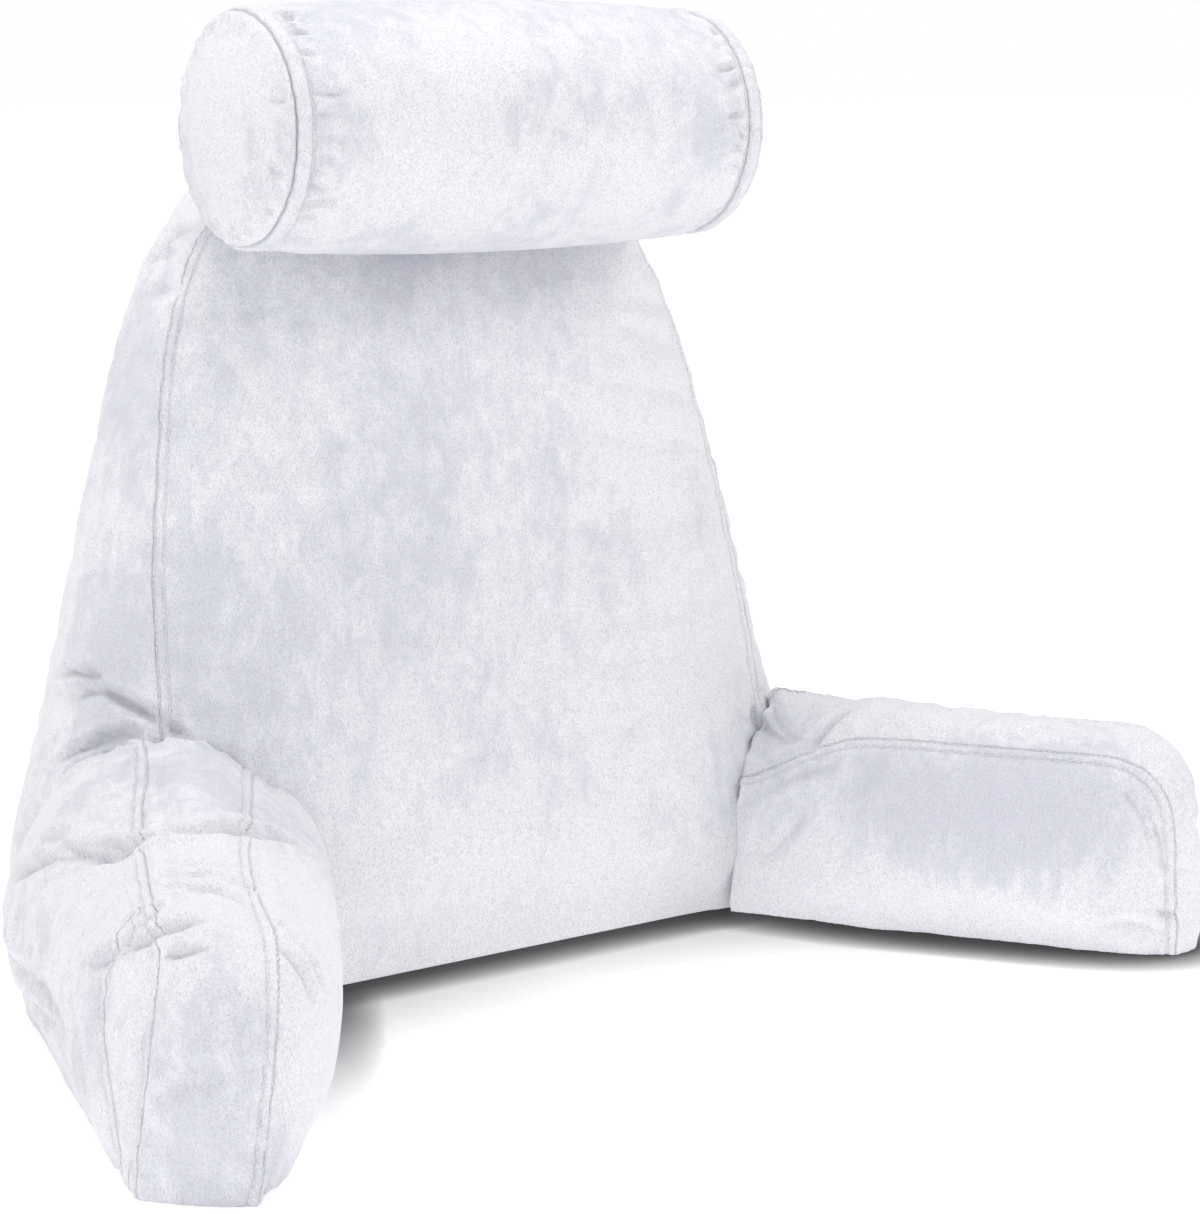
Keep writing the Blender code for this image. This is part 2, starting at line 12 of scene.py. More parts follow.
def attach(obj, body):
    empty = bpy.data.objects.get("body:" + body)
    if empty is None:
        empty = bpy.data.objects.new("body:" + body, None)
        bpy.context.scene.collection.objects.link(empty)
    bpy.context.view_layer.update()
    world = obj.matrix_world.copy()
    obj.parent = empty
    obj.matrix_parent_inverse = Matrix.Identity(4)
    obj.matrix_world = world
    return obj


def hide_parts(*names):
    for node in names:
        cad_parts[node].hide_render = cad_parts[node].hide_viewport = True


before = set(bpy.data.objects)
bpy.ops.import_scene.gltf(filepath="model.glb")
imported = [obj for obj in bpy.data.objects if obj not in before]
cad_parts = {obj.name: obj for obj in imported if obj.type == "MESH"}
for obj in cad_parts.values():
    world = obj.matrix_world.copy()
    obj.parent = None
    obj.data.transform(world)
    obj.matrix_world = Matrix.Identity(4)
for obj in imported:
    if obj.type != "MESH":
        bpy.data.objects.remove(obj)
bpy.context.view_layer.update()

pillowCentre = np.array((-0.004, 0.042, 0.0))  # the tables are measured from the foot of the front panel
pathStep = 0.002  # between the points of a seam's line
noSeam = 0.02  # distance that stands for a seam out of reach


def report(words):
    print("pillow:", words, flush=True)


def getPoints(mesh, kind="co"):
    values = np.zeros(len(mesh.vertices) * 3)
    mesh.vertices.foreach_get(kind, values)
    return values.reshape(-1, 3)


def setPoints(mesh, points):
    mesh.vertices.foreach_set("co", points.ravel())
    mesh.update()


def getEdges(mesh):
    ends = np.zeros(len(mesh.edges) * 2, dtype=np.int32)
    mesh.edges.foreach_get("vertices", ends)
    return ends.reshape(-1, 2)


def lengths(vectors):
    return np.linalg.norm(vectors, axis=1)


def easeIn(low, high, value):
    share = np.clip((value - low) / (high - low), 0.0, 1.0)
    return share * share * (3.0 - 2.0 * share)


# turns a table in millimetres into metres
def inMetres(table):
    if isinstance(table, tuple):
        return tuple(inMetres(value) for value in table)
    return table / 1000.0


# averages each value with its neighbours', over and over
def spread(values, edges, passes):
    count = len(values)
    degree = np.maximum(np.bincount(edges.ravel(), minlength=count), 1)
    for step in range(passes):
        total = np.empty_like(values)
        for axis in range(values.shape[1]):
            there = np.bincount(edges[:, 0], values[edges[:, 1], axis], count)
            back = np.bincount(edges[:, 1], values[edges[:, 0], axis], count)
            total[:, axis] = (there + back) / degree
        values = 0.5 * (values + total)
    return values


# evens out small steps and keeps the size: every pass in is followed by a slightly longer one out
def soften(values, edges, passes):
    outward = 1.06
    for step in range(passes):
        values = spread(values, edges, 1)
        values = values - outward * (spread(values, edges, 1) - values)
    return values


def bakeModifiers(piece):
    graph = bpy.context.evaluated_depsgraph_get()
    baked = bpy.data.meshes.new_from_object(piece.evaluated_get(graph))
    piece.modifiers.clear()
    piece.data = baked


def addPiece(name, mesh, material):
    piece = bpy.data.objects.new(name, mesh)
    bpy.context.scene.collection.objects.link(piece)
    mesh.materials.clear()
    mesh.materials.append(material)
    return piece


def dress(piece, slot, *nodes):
    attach(piece, "root")
    if nodes:
        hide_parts(*nodes)


# a math node fed with numbers or sockets
def mathNode(tree, kind, *values, clamp=False):
    node = tree.nodes.new("ShaderNodeMath")
    node.operation = kind
    node.use_clamp = clamp
    for socket, value in zip(node.inputs, values):
        if isinstance(value, (int, float)):
            socket.default_value = value
        else:
            tree.links.new(value, socket)
    return node.outputs["Value"]


# a colour between two others, each a tuple or a socket
def mixColours(tree, share, first, second):
    node = tree.nodes.new("ShaderNodeMix")
    node.data_type = "RGBA"
    tree.links.new(share, node.inputs[0])
    for socket, value in ((node.inputs[6], first), (node.inputs[7], second)):
        if isinstance(value, tuple):
            socket.default_value = (*value, 1.0)
        else:
            tree.links.new(value, socket)
    return node.outputs[2]


# a value that eases in from 0 to 1 between two limits
def easeNode(tree, value, limits):
    node = tree.nodes.new("ShaderNodeMapRange")
    node.interpolation_type = "SMOOTHSTEP"
    for label, limit in zip(("From Min", "From Max"), limits):
        node.inputs[label].default_value = limit
    tree.links.new(value, node.inputs["Value"])
    return node.outputs["Result"]


def newMaterial(name):
    material = bpy.data.materials.new(name)
    material.use_nodes = True
    return material, material.node_tree, material.node_tree.nodes["Principled BSDF"]


plushLook = {
    "white": (0.87, 0.87, 0.905),
    "shade": (0.665, 0.665, 0.750),  # cloth whose nap lies the other way; also the colour of the painted shade
    "cool": (0.725, 0.74, 0.755),
    "pitAndPaintedShade": (0.46, 0.47, 0.53),  # between the tufts, and the painted shade in seams and creases
    "scales": {"Patch Scale": 9.0, "Streak Scale": 70.0, "Grain Scale": 820.0},
    "patchWeight": 0.50,  # how much each of the three turns the nap; the second also brings painted shade and painted light
    "napAndPaintedLightWeight": 0.9,
    "streakWeight": 0.45,
    "turns": (0.22, 1.05),  # where the nap starts to turn and where it has turned
    "speck": (0.56, 3.2),  # level of the grain below which the pits show, and their contrast
    "coolShare": 0.35,
    "grainShare": 0.60,
    # painted shade in seam grooves and fold creases: how far the colour is drawn towards the pit colour
    "paintedGrooveShade": 0.05,
    "paintedCreaseShade": 0.35,
    "roughness": 0.93,
    "turnedRoughness": -0.12,
    "pileHeight": 0.0012,
    "streakHeight": -0.25,  # in pile heights, like the next
    "grooveHeight": -1.1,
    "groove": 0.0016,  # half width of a stitched groove
    "lines": ((0.0, 1.0), (0.0072, 0.7)),  # place and depth of the seam and its topstitching
    "shader": {"Metallic": 0.0, "Sheen Weight": 0.35, "Sheen Roughness": 0.45, "Specular IOR Level": 0.25},
}
napNoises = (
    # name, detail, roughness, distortion, squeeze along Z, and the limits it is drawn out between
    ("Patch", 6.0, 0.64, 0.15, 0.7, (0.40, 0.68)),
    ("Streak", 5.0, 0.68, 0.3, 0.55, (0.30, 0.72)),
    ("Grain", 2.0, 0.6, 0.0, 0.8, None),
)


# one shader group for the pile: patches where the nap turns, streaks, and fine grain
def napGroup():
    group = bpy.data.node_groups.new("plushNap", "ShaderNodeTree")
    group.interface.new_socket("Vector", in_out="INPUT", socket_type="NodeSocketVector")
    for name, *rest in napNoises:
        group.interface.new_socket(name + " Scale", in_out="INPUT", socket_type="NodeSocketFloat")
        group.interface.new_socket(name, in_out="OUTPUT", socket_type="NodeSocketFloat")
    nodes, links = group.nodes, group.links
    inlet, outlet = nodes.new("NodeGroupInput"), nodes.new("NodeGroupOutput")
    for name, detail, roughness, distortion, squeeze, limits in napNoises:
        mapping = nodes.new("ShaderNodeMapping")
        mapping.inputs["Scale"].default_value = (1.0, 1.0, squeeze)
        texture = nodes.new("ShaderNodeTexNoise")
        for label, value in (("Detail", detail), ("Roughness", roughness), ("Distortion", distortion)):
            texture.inputs[label].default_value = value
        links.new(inlet.outputs["Vector"], mapping.inputs["Vector"])
        links.new(mapping.outputs["Vector"], texture.inputs["Vector"])
        links.new(inlet.outputs[name + " Scale"], texture.inputs["Scale"])
        value = texture.outputs["Fac"]
        links.new(easeNode(group, value, limits) if limits else value, outlet.inputs[name])
    return group


def plushMaterial(name, group, look, shadeShare):
    material, tree, shader = newMaterial(name)
    nodes, links = tree.nodes, tree.links
    mix, combine = partial(mixColours, tree), partial(mathNode, tree)
    plus, minus, times = (partial(combine, kind) for kind in ("ADD", "SUBTRACT", "MULTIPLY"))
    for label, value in look["shader"].items():
        shader.inputs[label].default_value = value

    def attribute(label):
        node = nodes.new("ShaderNodeAttribute")
        node.attribute_name = label
        return node.outputs["Fac"]

    place = nodes.new("ShaderNodeTexCoord")
    nap = nodes.new("ShaderNodeGroup")
    nap.node_tree = group
    for label, scale in look["scales"].items():
        nap.inputs[label].default_value = scale
    links.new(place.outputs["Object"], nap.inputs["Vector"])
    patch, streak, grain = (nap.outputs[label] for label in ("Patch", "Streak", "Grain"))

    # grooves of the two stitched lines, from the cloth's own distance to its seam; they dent the bump and get
    # painted shade
    offset, crease = attribute("seamOffset"), attribute("crease")
    groove = 0.0
    for line, depth in look["lines"]:
        away = combine("ABSOLUTE", minus(offset, line))
        dip = minus(1.0, combine("DIVIDE", away, look["groove"]), clamp=True)
        groove = combine("MAXIMUM", groove, times(dip, depth))
    groove = times(groove, attribute("seamNear"))

    # the nap: broad patches, broken up by streaks, and the spots stored on the cloth, which add darker nap,
    # painted shade and painted light
    napAndPaintedLight = times(attribute("napAndPaintedLight"), look["napAndPaintedLightWeight"])
    napTurnAndPaintedLight = plus(times(patch, look["patchWeight"]), napAndPaintedLight)
    napTurnAndPaintedLight = plus(napTurnAndPaintedLight, times(streak, look["streakWeight"]))
    napTurnAndPaintedLight = times(easeNode(tree, napTurnAndPaintedLight, look["turns"]), shadeShare, clamp=True)
    colour = mix(napTurnAndPaintedLight, look["white"], look["shade"])
    coolShare = times(times(streak, patch), look["coolShare"], clamp=True)
    colour = mix(coolShare, colour, look["cool"])
    level, contrast = look["speck"]
    speck = times(minus(level, grain), contrast, clamp=True)
    colour = mix(times(speck, look["grainShare"]), colour, look["pitAndPaintedShade"])
    # painted shade where folds crease and along the seam grooves
    creaseShade = times(crease, look["paintedCreaseShade"])
    line = combine("MAXIMUM", times(groove, look["paintedGrooveShade"]), creaseShade)
    links.new(mix(line, colour, look["pitAndPaintedShade"]), shader.inputs["Base Color"])
    rough = plus(times(napTurnAndPaintedLight, look["turnedRoughness"]), look["roughness"])
    links.new(rough, shader.inputs["Roughness"])

    height = plus(grain, times(streak, look["streakHeight"]))
    dips = times(combine("MAXIMUM", groove, crease), look["grooveHeight"])
    bump = nodes.new("ShaderNodeBump")
    bump.inputs["Strength"].default_value = 1.0
    bump.inputs["Distance"].default_value = look["pileHeight"]
    links.new(plus(height, dips), bump.inputs["Height"])
    links.new(bump.outputs["Normal"], shader.inputs["Normal"])
    return material


threadLook = {
    "tints": ((0.80, 0.80, 0.84), (0.90, 0.90, 0.92)),
    "roughness": (0.45, 0.75),
    "sheen": 0.2,
    "twistScale": 900.0,
}


def threadMaterial():
    material, tree, shader = newMaterial("whiteThread")
    shader.inputs["Sheen Weight"].default_value = threadLook["sheen"]
    place = tree.nodes.new("ShaderNodeTexCoord")
    texture = tree.nodes.new("ShaderNodeTexNoise")
    texture.inputs["Scale"].default_value = threadLook["twistScale"]
    tree.links.new(place.outputs["Object"], texture.inputs["Vector"])
    tint = mixColours(tree, texture.outputs["Fac"], *threadLook["tints"])
    tree.links.new(tint, shader.inputs["Base Color"])
    low, high = threadLook["roughness"]
    rough = mathNode(tree, "MULTIPLY_ADD", texture.outputs["Fac"], high - low, low)
    tree.links.new(rough, shader.inputs["Roughness"])
    return material


nap = napGroup()
plush = plushMaterial("whitePlush", nap, plushLook, 0.9)
bandLook = {
    **plushLook,
    "white": (0.83, 0.83, 0.87),
    "scales": {**plushLook["scales"], "Patch Scale": 11.0},
    # painted shade in the band's creases, deeper than on the plush
    "paintedCreaseShade": 0.9,
}
bandPlush = plushMaterial("bandPlush", nap, bandLook, 0.6)
thread = threadMaterial()
report("materials made")

# Every seam is a line over a cushion: a few points, its corners rounded. The cloth's side of a
# seam is counted positive to the right of the line, seen from outside with the line going up.
seamLook = {
    "span": (0.0, 0.0072),  # from the seam to its topstitching
    "reach": 0.07,
    "valley": 0.0016,  # how far the stuffing draws in along a seam
    "valleyReach": 0.010,
    "ridge": 0.0008,
    "groove": 0.0008,
    "grooveShares": (1.0, 0.7),  # at the seam and at its topstitching
    "grooveWidth": 0.0018,
    "grooveEnds": (0.012, 0.017),  # distance from the seam where the grooves' shading ends
    "puckerDepth": 0.0014,
    "puckerReach": 0.034,
    "puckerStart": 0.008,  # a pucker is shallower within this distance of the stitches
    "puckerSkew": 0.7,
    "puckerStep": (0.011, 0.034),
    "puckerWidth": (0.0030, 0.0062),
    "stitch": {"Step": 0.0044, "Length": 0.0030, "Radius": 0.00036},
}

# height, half width and depth of the back cushion's two sewn edges, the rows in millimetres
backEdges = {
    "shoulder": 0.400,
    "roundness": {"front": 3.4, "rear": 2.7},
    "front": (0.600, (
        (0, 262, 0), (8E+1, 261, 13), (2E+2, 259, 35), (3E+2, 252, 57),
        (4E+2, 236, 75), (5E+2, 2.2E+2, 96), (6E+2, 208, 112),
    )),
    "rear": (0.586, (
        (0, 2.9E+2, 205), (8E+1, 282, 211), (2E+2, 2.5E+2, 216), (3E+2, 219, 219),
        (4E+2, 188, 221), (5E+2, 158, 221), (6E+2, 132, 219),
    )),
}

# line of each arm seam in millimetres: at the root, at the top front corner and at the foot
armEdges = {
    "arm_left": {
        "inner": ((-138, 1.3E+2, 1.7E+2), (-225, -3E+1, 166), (-312, -182, 166),
                  (-371, -326, 147), (-386, -321, 0)),
        "outer": ((-228, 1.3E+2, 206), (-305, -35, 1.8E+2), (-344, -96, 168),
                  (-393, -2E+2, 158), (-426, -277, 152), (-444, -266, 0)),
        "side": ((-408, -195, 148), (-439, -225, 68), (-446, -242, 0)),
    },
    "arm_right": {
        "inner": ((142, 1.3E+2, 98), (221, -3, 102), (258, -66, 146),
                  (388, -284, 149), (398, -286, 0)),
        "outer": ((215, 1.3E+2, 152), (438, -2.4E+2, 162), (449, -238, 0)),
    },
}
armCorner = 0.052


# a line through a few points, with round corners
def roundedPath(corners, radius):
    corners = [np.array(corner, dtype=float) for corner in corners]
    points = [corners[0]]
    for before, corner, after in zip(corners, corners[1:], corners[2:]):
        back = min(radius, 0.5 * np.linalg.norm(before - corner))
        ahead = min(radius, 0.5 * np.linalg.norm(after - corner))
        start = corner + (before - corner) / np.linalg.norm(before - corner) * back
        end = corner + (after - corner) / np.linalg.norm(after - corner) * ahead
        for share in np.linspace(0.0, 1.0, 9):
            points.append((1 - share) ** 2 * start + 2 * share * (1 - share) * corner + share**2 * end)
    points.append(corners[-1])
    return evenPath(np.array(points))


def evenPath(points):
    run = np.concatenate(([0.0], np.cumsum(lengths(np.diff(points, axis=0)))))
    wanted = np.arange(0.0, run[-1], pathStep)
    return np.stack([np.interp(wanted, run, points[:, axis]) for axis in range(3)], axis=1)


def backSeam(edge):
    top, rows = backEdges[edge]
    shoulder, roundness = backEdges["shoulder"], backEdges["roundness"][edge]
    heights, widths, depths = (np.array(column) for column in zip(*inMetres(rows)))
    side = []
    for height in np.linspace(0.0, top, 121):
        rise = max((height - shoulder) / (top - shoulder), 0.0)
        narrowing = max(1.0 - rise**roundness, 0.0) ** (1.0 / roundness)
        half = np.interp(height, heights, widths) * narrowing
        side.append((-half, np.interp(height, heights, depths), height))
    side = np.array(side)
    whole = np.concatenate((side, side[::-1][1:] * (-1.0, 1.0, 1.0)))
    return evenPath(whole) + pillowCentre


def rollSeam(x, radius, centre):
    turns = np.linspace(0.0, 2.0 * math.pi, 361)
    ring = np.stack([np.full(len(turns), x), radius * np.cos(turns), radius * np.sin(turns)], axis=1)
    return evenPath(ring + centre)


# moves a line onto a cushion's surface and leaves out what lies off it
def snapPath(path, surface):
    furthest, fewest, evenings = 0.016, 20, 60
    onSurface = []
    for point in path:
        spot, normal, index, distance = surface.find_nearest(Vector(point))
        if spot is not None and distance < furthest:
            onSurface.append(spot[:])
    if len(onSurface) < fewest:
        return np.zeros((0, 3))
    line = np.array(onSurface)
    for step in range(evenings):  # evens out the small steps of the mesh
        line[1:-1] = 0.5 * line[1:-1] + 0.25 * (line[:-2] + line[2:])
    return evenPath(line)


def surfaceOf(*meshes):
    points, corners = [], []
    for mesh in meshes:
        first = len(points)
        mesh.calc_loop_triangles()
        points += [Vector(point) for point in getPoints(mesh)]
        corners += [tuple(first + vertex for vertex in triangle.vertices) for triangle in mesh.loop_triangles]
    return BVHTree.FromPolygons(points, corners)


# which path point each vertex is nearest to, for vertices within reach of the path
def nearPath(points, path, reach):
    tree = KDTree(len(path))
    for index, point in enumerate(path):
        tree.insert(Vector(point), index)
    tree.balance()
    inside = ((points > path.min(axis=0) - reach) & (points < path.max(axis=0) + reach)).all(axis=1)
    chosen, nearest, distances = [], [], []
    for vertex in np.nonzero(inside)[0]:
        spot, index, distance = tree.find(Vector(points[vertex]))
        if distance < reach:
            chosen.append(vertex)
            nearest.append(index)
            distances.append(distance)
    return np.array(chosen, dtype=int), np.array(nearest, dtype=int), np.array(distances)


# signed distance from a seam and place along it, for the cloth around the seam
def seamPlaces(points, normals, path, reach):
    chosen, nearest, distances = nearPath(points, path, reach)
    tangents = np.gradient(path, axis=0)
    tangents /= lengths(tangents)[:, None]
    offsets = points[chosen] - path[nearest]
    across = np.cross(tangents[nearest], normals[chosen])
    signed = np.einsum("ij,ij->i", offsets, across)
    along = nearest * pathStep + np.einsum("ij,ij->i", offsets, tangents[nearest])
    return chosen, np.sign(signed) * distances, along


# height that a seam gives the cloth around it: valley, stitched band and puckers
def seamHeights(signed, along, look, seed, length):
    draw = np.random.default_rng(seed).uniform
    low, high = look["span"]
    middle, half = 0.5 * (low + high), 0.5 * (high - low)
    beside = np.maximum(np.abs(signed - middle) - half, 0.0)
    height = -look["valley"] * np.exp(-beside / look["valleyReach"])
    height += look["ridge"] * np.exp(-(((signed - middle) / (0.9 * half)) ** 2))
    for line, share in zip(look["span"], look["grooveShares"]):
        height -= share * look["groove"] * np.exp(-(((signed - line) / look["grooveWidth"]) ** 2))
    place = 0.0
    while place < length:
        place += draw(*look["puckerStep"])
        for side in (-1.0, 1.0):
            depth = look["puckerDepth"] * draw(0.15, 1.0) ** 1.6
            reach = look["puckerReach"] * draw(0.25, 1.0)
            width = draw(*look["puckerWidth"])
            skew = draw(-look["puckerSkew"], look["puckerSkew"])
            mine = ((signed - middle) * side > -half) & (np.abs(along - place) < 5.0 * width + reach)
            away = beside[mine]
            bend = (along[mine] - place - skew * away) / (width * (1.0 + away / reach))
            pucker = (1.0 - bend**2) * np.exp(-0.5 * bend**2)
            grows = 0.25 + 0.75 * np.minimum(away / look["puckerStart"], 1.0)
            height[mine] -= depth * grows * pucker * np.exp(-((away / reach) ** 2))
    return height


# A fold is a soft trough along a bent line, with the cloth raised a little beside it. The rows are
# in millimetres.
foldLook = {
    "reach": 3.5,  # this and the next three are counted in widths of the fold
    "width": 0.8,
    "ridgePlace": 1.9,
    "ridgeWidth": 0.9,
    "ridge": 0.34,  # in depths of the fold, like the next
    "deepening": 1.4,
    "creaseWidth": 0.0022,
    "creasedFrom": 0.006,  # depth of a fold that is creased fully
}
foldColumns = ("start", "middle", "end", "halfWidth", "depth")
foldRows = inMetres((
    # side strip above the left arm
    ((-287, 143, 221), (-286, 105, 2.3E+2), (-281, 82, 228), 4.5, 5),
    ((-283, 79, 2.2E+2), (-274, 55, 214), (-261, 36, 204), 5, 8),
    ((-293, 1.2E+2, 208), (-284, 83, 2.2E+2), (-275, 57, 217), 4.5, 4),
    ((-307, 107, 168), (-292, 75, 187), (-269, 43, 196), 5, 6),
    ((-322, 84, 149), (-306, 87, 166), (-291, 64, 184), 5, 5),
    # shoulders, under the roll
    ((-202, 1.2E+2, 503), (-1.9E+2, 144, 521), (-186, 104, 534), 8, 6),
    ((-207, 141, 491), (-198, 156, 505), (-194, 121, 517), 8, 5),
    ((-212, 1.5E+2, 479), (-2.1E+2, 122, 488), (-209, 94, 493), 8, 3),
    ((178, 165, 5E+2), (192, 1.4E+2, 521), (186, 104, 534), 8, 6),
    ((1.9E+2, 175, 488), (202, 148, 506), (196, 117, 517), 8, 4),
    # front panel beside the left arm's root
    ((-256, 34, 202), (-245, 24, 192), (-239, 2, 187), 5, 6),
    ((-361, -52, 155), (-352, -125, 172), (-321, -152, 176), 5, 6),
    # over the left arm
    ((-3.8E+2, -33, 126), (-346, -128, 172), (-296, -138, 1.7E+2), 8, 9),
    ((-333, -1.5E+2, 177), (-269, -118, 161), (-225, -85, 1.1E+2), 8, 7),
    ((-3.2E+2, 68, 105), (-365, -67, 152), (-3.6E+2, -115, 164), 8, 6),
    ((-332, 85, 66), (-3.5E+2, 6, 114), (-365, -102, 158), 8, 8),
    ((-365, -163, 169), (-3.5E+2, -194, 171), (-323, -201, 161), 5, 2.5),
    ((-377, -173, 166), (-3.6E+2, -211, 168), (-327, -2.2E+2, 157), 5, 3),
    ((-385, -181, 1.6E+2), (-371, -224, 166), (-347, -248, 157), 5, 2.5),
    ((-379, -195, 164), (-353, -209, 168), (-323, -223, 155), 4, 2),
    ((-391, -218, 161), (-366, -227, 166), (-351, -253, 157), 4, 2),
    # gathered corner of the left arm
    ((-417, -267, 142), (-413, -278, 145), (-401, -291, 149), 4, 4),
    ((-421, -214, 131), (-414, -219, 143), (-405, -221, 153), 4, 4),
    ((-426, -211, 119), (-414, -218, 143), (-393, -221, 161), 6, 6),
    ((-424, -194, 116), (-414, -242, 147), (-391, -2.7E+2, 159), 6, 6),
    ((-4.4E+2, -1.8E+2, 1.2E+2), (-421, -196, 125), (-409, -2.3E+2, 151), 6, 5),
    # gathers on the left arm's outer side
    ((-3.8E+2, 24, 98), (-386, 14, 77), (-3.8E+2, 2E+1, 5E+1), 4, 4),
    ((-385, -8, 106), (-391, -6, 8E+1), (-384, -4, 5E+1), 4, 4),
    ((-394, -47, 91), (-394, -4E+1, 59), (-392, -57, 3E+1), 4, 3),
    ((-328, 122, 9E+1), (-332, 1E+2, 75), (-342, 6E+1, 63), 6, 4),
    ((-345, 63, 72), (-397, -59, 68), (-429, -148, 58), 7, 3.5),
    ((-335, 1E+2, 27), (-388, -27, 45), (-423, -122, 53), 7, 3),
    ((-389, -53, 1.1E+2), (-4E+2, -79, 6E+1), (-433, -161, 4E+1), 6, 3),
    ((-398, -1E+2, 1.1E+2), (-426, -167, 79), (-4.3E+2, -188, 4E+1), 6, 3),
    # inner side of the left arm
    ((-3.4E+2, -266, 151), (-335, -283, 137), (-327, -289, 113), 6, 5),
    ((-359, -299, 145), (-348, -301, 129), (-342, -302, 108), 6, 4),
    # root of the right arm
    ((245, -44, 132), (261, -46, 147), (277, -56, 159), 6, 5),
    ((251, 24, 152), (248, 14, 1.4E+2), (244, -24, 133), 7, 6),
    ((273, 31, 155), (254, 3, 144), (249, -32, 137), 6, 4),
    ((224, -22, 98), (234, -48, 114), (245, -75, 125), 6, 3),
    ((216, -24, 45), (227, -46, 67), (235, -65, 98), 6, 3),
    # front end of the right arm
    ((371, -268, 118), (381, -277, 95), (386, -279, 66), 5, 3),
    ((362, -257, 125), (372, -269, 105), (378, -273, 74), 5, 3),
    ((3.8E+2, -274, 4E+1), (391, -2.8E+2, 32), (398, -287, 37), 5, 3),
    ((355, -247, 18), (369, -263, 24), (389, -279, 17), 6, 3),
))


gatherLook = {
    "places": 130,  # on each end of the roll, by turns on the end disc and on the barrel
    "skew": 0.10,
    "halfWidth": (0.0022, 0.0036),
    "disc": {
        "start": 0.006, "crown": 0.004, "edge": 0.0750, "reach": (0.006, 0.016), "depth": (0.0008, 0.0020),
    },
    "barrel": {"start": 0.013, "reach": (0.007, 0.026), "depth": (0.0008, 0.0027)},
}


# short gathers where the roll's cloth and its end discs are sewn to the bands
def rollGathers():
    draw = np.random.default_rng(77).uniform
    middle, half = rollLook["centre"] - pillowCentre, rollLook["half"]
    rows = []
    for side in (-1.0, 1.0):
        for place in range(gatherLook["places"]):
            turn = draw(0.0, 2.0 * math.pi)
            skew = draw(-gatherLook["skew"], gatherLook["skew"])
            onDisc = place % 2 == 0
            kind = gatherLook["disc" if onDisc else "barrel"]
            reach = draw(*kind["reach"])
            row = []
            for share in (0.0, 0.5, 1.0):
                angle = turn + skew * share
                if onDisc:
                    x, radius = half + kind["start"] + kind["crown"] * share, kind["edge"] - reach * share
                else:
                    x, radius = half - kind["start"] - reach * share, rollLook["radius"]
                row.append(tuple(middle + (side * x, radius * math.cos(angle), radius * math.sin(angle))))
            rows.append((*row, draw(*gatherLook["halfWidth"]), draw(*kind["depth"])))
    return rows


# surface is that of all cushions, because some folds run on from one to the next
def addFolds(points, normals, surface, rows):
    moved = points.copy()
    # how sharp a fold is: the shader paints shade there and dents the bump
    crease = np.zeros(len(points))
    shares = np.linspace(0.0, 1.0, 41)
    for row in rows:
        fold = dict(zip(foldColumns, row), **foldLook)
        start, middle, end = (np.array(fold[key]) + pillowCentre for key in ("start", "middle", "end"))
        pull = 2.0 * middle - 0.5 * (start + end)
        line = [(1 - t) ** 2 * start + 2 * t * (1 - t) * pull + t**2 * end for t in shares]
        line = np.array([surface.find_nearest(Vector(point))[0][:] for point in line])
        chosen, nearest, distances = nearPath(points, line, fold["reach"] * fold["halfWidth"])
        if not len(chosen):
            continue
        taper = np.sin(math.pi * shares[nearest]) ** 0.6
        away = distances / (fold["width"] * fold["halfWidth"])
        beside = np.exp(-(((away - fold["ridgePlace"]) / fold["ridgeWidth"]) ** 2))
        profile = np.exp(-(away**1.1)) - fold["ridge"] * beside
        direction = normals[chosen].mean(axis=0)
        direction = 0.6 * direction / np.linalg.norm(direction) + 0.4 * normals[chosen]
        moved[chosen] -= direction * (fold["deepening"] * fold["depth"] * taper * profile)[:, None]
        sharp = min(fold["depth"] / fold["creasedFrom"], 1.0) * taper
        sharp = sharp * np.exp(-((distances / fold["creaseWidth"]) ** 2))
        crease[chosen] = np.maximum(crease[chosen], sharp)
    return moved, crease


armStuffing = {"voxel": 0.0040, "inset": 0.0010, "softening": 8, "pressure": 3.0, "cap": 0.0030, "fill": 0.75}


def armSeams(name):
    return [roundedPath(inMetres(line), armCorner) + pillowCentre for line in armEdges[name].values()]


cushions = {
    "back_cushion": {
        "voxel": 0.0069, "inset": 0.0035, "softening": 10,
        "growth": 0.020, "pressure": 4.0, "cap": 0.006, "fill": 0.8,
        "seams": [backSeam("front"), backSeam("rear")],
    },
    "arm_left": {
        **armStuffing, "growth": 0.030, "seams": armSeams("arm_left"),
        "straightFoot": 0.8,
    },
    "arm_right": {
        **armStuffing, "growth": 0.025, "seams": armSeams("arm_right"),
        # its root is pulled up beside the back: one fold turned outwards
        "lifts": (((0.200, 0.160, 0.165), (0.262, 0.050, 0.165), (0.310, -0.030, 0.160), 0.026, -0.009),),
    },
    "neck_roll": {
        "voxel": 0.0043, "inset": 0.0, "softening": 8,
        "growth": 0.020, "pressure": 4.0, "cap": 0.002, "fill": 0.9,
        "seams": [],
        "sewn": {
            "span": (-0.0055, 0.0055), "valley": 0.0012, "ridge": 0.0, "groove": 0.0012,
            "puckerDepth": 0.0015, "puckerReach": 0.030, "puckerStep": (0.005, 0.019),
        },
    },
}
rollLook = {
    "half": 0.192, "radius": 0.080, "centre": np.array((0.0, 0.032, 0.5995)) + pillowCentre,
    "bandWidth": 0.011,
    "rim": {"start": 0.001, "width": 0.009, "drop": 0.13, "inner": 0.020, "outer": 0.008, "least": 0.064},
    "channel": {"depth": 0.0045, "least": 0.070, "edges": (0.4, 0.7)},  # under a band, edges in its widths
}
bandMiddle = rollLook["half"] - 0.5 * rollLook["bandWidth"]
